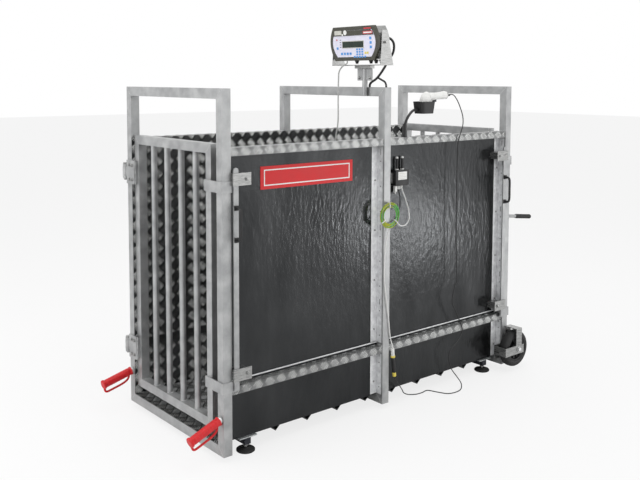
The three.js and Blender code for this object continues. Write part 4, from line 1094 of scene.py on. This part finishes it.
def signBorder():
    shape = bmesh.new()
    (x0, x1), (z0, z1), line = sign["x"], sign["z"], sign["line"]
    strokes = (
        ((x0, z0), (x1, z0 + line)), ((x0, z1 - line), (x1, z1)),
        ((x0, z0 + line), (x0 + line, z1 - line)), ((x1 - line, z0 + line), (x1, z1 - line)),
    )
    for low, high in strokes:
        back, front = sign["front"] + 0.1, sign["front"] - 0.25
        drawBlock(shape, (low[0], front, low[1]), (high[0], back, high[1]))
    finishPiece("signBorder", shape, "frame", "whitePlastic", 0)


signBorder()


junction = {
    "depth": 31,  # Y of the glands and plugs
    "glands": (1004, 1040),
    "tipHeight": 1191,
    "collar": (1130, 1138),
    "cover": ((984, 17, 1058), (1072, 20, 1134)),  # two corners, as label, plug and block have
    "label": ((1000, 16.2, 1086), (1058, 17.2, 1124)),
    "lines": 4,  # plain lines in place of the label's text
    "linePitch": 8,
    "ears": (974, 1071),
    "plug": ((988, 24, 1030), (1000, 38, 1057)),
    "block": ((1004, 26, 1040), (1026, 38, 1056)),
}


def junctionDetail():
    # gland tips, cover, plain label with its lines, fixing ears and the plugs underneath
    y = junction["depth"]
    tips = bmesh.new()
    for x in junction["glands"]:
        made = bmesh.ops.create_uvsphere(tips, u_segments=20, v_segments=12, radius=6.5)["verts"]
        bmesh.ops.translate(tips, vec=(x, y, junction["tipHeight"]), verts=made)
        drawRound(tips, (x, y, junction["collar"][0]), (x, y, junction["collar"][1]), 9, 20)
    finishPiece("junctionTips", tips, "frame", "whitePlastic", 0)
    cover = bmesh.new()
    drawBlock(cover, *junction["cover"])
    finishPiece("junctionFace", cover, "frame", "blackNylon", 1.0)
    label = bmesh.new()
    drawBlock(label, *junction["label"])
    finishPiece("junctionLabel", label, "frame", "whitePlastic", 0.3)
    marks = bmesh.new()
    for i in range(junction["lines"]):
        low = 1091 + i * junction["linePitch"]
        drawBlock(marks, (1005, 15.9, low), (1046 + 7 * (i % 2), 16.3, low + 2))
    finishPiece("junctionMarks", marks, "frame", "labelGrey", 0)
    ears = bmesh.new()
    for x in junction["ears"]:
        drawBlock(ears, (x, 36, 1070), (x + 12, 40, 1122))
    finishPiece("junctionEars", ears, "frame", "groundStainless", 0.6)
    lower = bmesh.new()
    drawBlock(lower, *junction["plug"])
    drawRound(lower, (994, y, 1030), (994, y, 1020), 5, 20, 3)
    drawRound(lower, (1036, y, 1059), (1036, y, 1046), 6, 20, 4)
    finishPiece("junctionPlugs", lower, "frame", "whitePlastic", 0.6)
    small = bmesh.new()
    drawBlock(small, *junction["block"])
    finishPiece("junctionBlock", small, "frame", "greyJacket", 0.8)


junctionDetail()


earthCoil = {
    "at": (916, -13, 930),
    "inner": 40,
    "outer": 59.5,
    "turns": 7,
    "perTurn": 28,  # places on each turn
    "start": 2.4,  # radians, as swell and weave are over the whole coil
    "swell": 15.7,
    "weave": 23,
    "depth": 3.2,
    "width": 4.4,
    "ties": (95, 210, 320),  # degrees round the coil
    "tieRadius": 49.5,
}


def layCoil(spec):
    # turns that swell between the inner and outer radius and weave to and fro
    x, y, z = spec["at"]
    points = []
    total = spec["turns"] * spec["perTurn"]
    for i in range(total + 1):
        angle = math.tau * i / spec["perTurn"] + spec["start"]
        share = i / total
        swell = 0.5 + 0.5 * math.sin(share * spec["swell"])
        radius = spec["inner"] + (spec["outer"] - spec["inner"]) * swell
        depth = spec["depth"] * math.cos(share * spec["weave"])
        points.append((x + radius * math.cos(angle), y + depth, z + radius * math.sin(angle)))
    return placed(points)


coilPath = layCoil(earthCoil)
coilPiece = tubeMesh("earthWire", coilPath, earthCoil["width"] / 2000, 10)
coilPiece.data.materials.append(finish["earthJacket"])
coilPiece.data.materials.append(finish["earthGreen"])
coilCentre = place(*earthCoil["at"])
for polygon in coilPiece.data.polygons:  # green and yellow share the jacket
    turn = math.atan2(polygon.center.z - coilCentre.z, polygon.center.x - coilCentre.x)
    polygon.material_index = 1 if math.sin(turn * 2 + polygon.center.y * 700) > 0.1 else 0
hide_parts("earth_coil")
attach(coilPiece, "frame")


def coilTies():
    # a square loop round the bundle at each tie
    shape = bmesh.new()
    sides = (
        ((-12, -7, -2.4), (12, -6, 2.4)), ((-12, 6, -2.4), (12, 7, 2.4)),
        ((-13, -7, -2.4), (-12, 7, 2.4)), ((12, -7, -2.4), (13, 7, 2.4)),
    )
    for degrees in earthCoil["ties"]:
        angle = math.radians(degrees)
        across = Vector((math.cos(angle), 0, math.sin(angle)))
        centre = Vector(earthCoil["at"]) + across * earthCoil["tieRadius"]
        turn = turnTo(across, Vector((0, 1, 0)), across.cross(Vector((0, 1, 0))))
        for low, high in sides:
            made = drawBlock(shape, low, high)
            bmesh.ops.transform(shape, matrix=Matrix.Translation(centre) @ turn, verts=made)
    finishPiece("coilTies", shape, "frame", "whitePlastic", 0.3)


coilTies()

# the in-line connector: its spine, and where each part starts and ends as a share of it
connectorSpine = [(962, -8, 150), (957, -8, 192), (951, -8, 248), (947.5, -8, 290)]
connector = {
    "connectorBand": (0.0, 0.15, 8.8, "keyYellow", "earth_cable"),
    "connectorPlug": (0.15, 0.64, 8.6, "blackNylon", "black_plastic"),
    "connectorRing": (0.64, 0.70, 10.6, "keyYellow", "earth_cable"),
    "connectorBody": (0.70, 0.98, 8.6, "whitePlastic", "white_plastic"),
}


def onSpine(share):
    reach = share * (len(connectorSpine) - 1)
    i = min(len(connectorSpine) - 2, int(reach))
    return Vector(connectorSpine[i]).lerp(Vector(connectorSpine[i + 1]), reach - i)


def connectorPiece(name, start, end, radius, material, slot):
    shape = bmesh.new()
    drawRound(shape, onSpine(start), onSpine(end), radius, 24)
    replaced = ()
    if name == "connectorPlug":  # the ribbed half stands for the whole connector
        replaced = ("inline_connector",)
        for i in range(6):
            drawRound(shape, onSpine(0.18 + i * 0.07), onSpine(0.20 + i * 0.07), radius + 1, 24)
    finishPiece(name, shape, "frame", material, 0.7, replaced)


for name, facts in connector.items():
    connectorPiece(name, *facts)


scannerHead = {"at": (1188, 26, 1452), "half": (33, 24.5, 52), "lean": 14}
scannerHandle = {
    "at": (1204, 26, 1476),
    "along": Vector((1, 0, 0.075)).normalized(),
    "outline": [
        (0.01, 0), (21, 0), (22, 6), (19.5, 30), (17.5, 60), (18, 90), (20, 118), (19, 130), (14, 136),
        (0.01, 137),
    ],
    "end": [(20.4, 126), (15.4, 135.6), (13, 138.6), (0.01, 139), (0.01, 134), (19.6, 126)],
}


def scannerShell():
    # a rounded head that stands in the holder and a handle that runs back from it
    shape = bmesh.new()
    head = bmesh.ops.create_uvsphere(shape, u_segments=40, v_segments=24, radius=1)["verts"]
    bmesh.ops.scale(shape, vec=scannerHead["half"], verts=head)
    lean = Matrix.Rotation(math.radians(scannerHead["lean"]), 3, "Y")
    bmesh.ops.rotate(shape, cent=(0, 0, 0), matrix=lean, verts=head)
    bmesh.ops.translate(shape, vec=scannerHead["at"], verts=head)
    finishPiece("scannerHead", shape, "scanner", "whitePlastic", 0, ("scanner",))
    handle = bmesh.new()
    drawTurned(handle, scannerHandle["outline"], scannerHandle["at"], scannerHandle["along"], 40)
    finishPiece("scannerHandle", handle, "scanner", "whitePlastic", 0)
    band = bmesh.new()
    drawTurned(band, scannerHandle["end"], scannerHandle["at"], scannerHandle["along"], 40)
    finishPiece("scannerEnd", band, "scanner", "blackNylon", 0)


scannerShell()


def scannerDetail():
    # the reading nose and the cord's strain relief
    dark = bmesh.new()
    drawRound(dark, (1163, 26, 1412), (1160, 26, 1404), 20, 32, 17)
    finishPiece("scannerNose", dark, "scanner", "blackNylon", 1.2)
    relief = bmesh.new()
    for i in range(5):
        drawRound(relief, (1337 + i * 6, 26, 1483), (1341 + i * 6, 26, 1483.2), 6.4 - i * 0.7, 20)
    drawRound(relief, (1336, 26, 1483), (1368, 26, 1485.6), 4.6, 20, 3.1)
    finishPiece("scannerRelief", relief, "scanner", "blackNylon", 0.3)


scannerDetail()

pullGrip = {"y": 21, "height": 829, "slope": 6.5, "ribs": 14, "ribPitch": 8}


def rodDetail():
    # ribs and a rounded end on the grip of the rear pull rod
    slope = math.radians(pullGrip["slope"])

    def at(distance):
        x = crate["length"] + math.cos(slope) * distance
        return (x, pullGrip["y"], pullGrip["height"] - math.sin(slope) * distance)

    ribs = bmesh.new()
    for i in range(pullGrip["ribs"]):
        start = 90 + i * pullGrip["ribPitch"]
        drawRound(ribs, at(start), at(start + 4), 12, 28)
    drawRound(ribs, at(206), at(212), 12.6, 28, 10)
    finishPiece("pullGripRibs", ribs, "frame", "blackNylon", 0.5)


rodDetail()
print("detail pieces done")

lampSpecs = {  # places in millimetres on the crate, sizes in metres
    # a large soft panel to the right of the viewer, mirrored in the near side
    "nearPanel": {"at": (3600, -3800, 2100), "to": crate["centre"], "size": 3.6, "watts": 38},
    # a soft one on the left for the faces towards the front gate
    "leftPanel": {"at": (-3600, 1500, 2300), "to": crate["centre"], "size": 3.0, "watts": 70},
    # a low one whose image breaks up in the ripples of the near side
    "lowPanel": {"at": (3631, -2510, 260), "to": (1050, 42, 850), "size": 0.35, "watts": 9},
    # a weaker one overhead
    "topPanel": {"at": (300, -400, 4600), "to": crate["centre"], "size": 3.4, "watts": 60},
}


def addLamp(name, spec):
    data = bpy.data.lights.new(name, "AREA")
    data.shape = "SQUARE"
    data.size = spec["size"]
    data.energy = spec["watts"]
    lamp = bpy.data.objects.new(name, data)
    bpy.context.scene.collection.objects.link(lamp)
    lamp.location = place(*spec["at"])
    aim = place(*spec["to"]) - lamp.location
    lamp.rotation_mode = "QUATERNION"
    lamp.rotation_quaternion = aim.to_track_quat("-Z", "Y")


for name, spec in lampSpecs.items():
    addLamp(name, spec)


studio = {
    "soft": 0.62,  # light from all round on the crate
    "white": 1.0,  # background, and what mirrors in the metal
    "floorGlow": 0.78,  # share of its own light in the floor, so that it stays near white
    "floorHalf": 30,
}


def makeWorld():
    world = bpy.data.worlds.new("studio")
    bpy.context.scene.world = world
    world.use_nodes = True
    tree = world.node_tree
    tree.nodes.clear()
    path = addNode(tree, "ShaderNodeLightPath")
    seen = addNode(
        tree, "ShaderNodeMath", {0: path.outputs["Is Camera Ray"], 1: path.outputs["Is Glossy Ray"]},
        operation="MAXIMUM",
    )
    whole = addNode(
        tree, "ShaderNodeMath", {0: seen.outputs[0], 1: path.outputs["Is Transmission Ray"]},
        operation="MAXIMUM",
    )
    soft = addNode(tree, "ShaderNodeBackground", {"Color": (1, 1, 1, 1), "Strength": studio["soft"]})
    white = addNode(tree, "ShaderNodeBackground", {"Color": (1, 1, 1, 1), "Strength": studio["white"]})
    ends = {0: whole.outputs[0], 1: soft.outputs[0], 2: white.outputs[0]}
    mix = addNode(tree, "ShaderNodeMixShader", ends)
    addNode(tree, "ShaderNodeOutputWorld", {"Surface": mix.outputs[0]})


makeWorld()


def makeFloor():
    # a pale floor that glows to the camera and still takes the crate's shadow
    shape = bmesh.new()
    bmesh.ops.create_grid(shape, x_segments=1, y_segments=1, size=studio["floorHalf"])
    mesh = bpy.data.meshes.new("studioFloor")
    shape.to_mesh(mesh)
    shape.free()
    floor = bpy.data.objects.new("studioFloor", mesh)
    bpy.context.scene.collection.objects.link(floor)
    material, tree, shader = startMaterial("paleFloor", "f4f4f4", 0, 0.9)
    path = addNode(tree, "ShaderNodeLightPath")
    glow = addNode(tree, "ShaderNodeEmission", {"Color": (1, 1, 1, 1), "Strength": 1.0})
    share = addNode(
        tree, "ShaderNodeMath", {0: path.outputs["Is Camera Ray"], 1: studio["floorGlow"]},
        operation="MULTIPLY",
    )
    ends = {0: share.outputs[0], 1: shader.outputs[0], 2: glow.outputs[0]}
    mix = addNode(tree, "ShaderNodeMixShader", ends)
    tree.links.new(mix.outputs[0], tree.nodes["Material Output"].inputs["Surface"])
    mesh.materials.append(material)


makeFloor()
bpy.context.scene.view_settings.view_transform = "Standard"
print("stage lit")
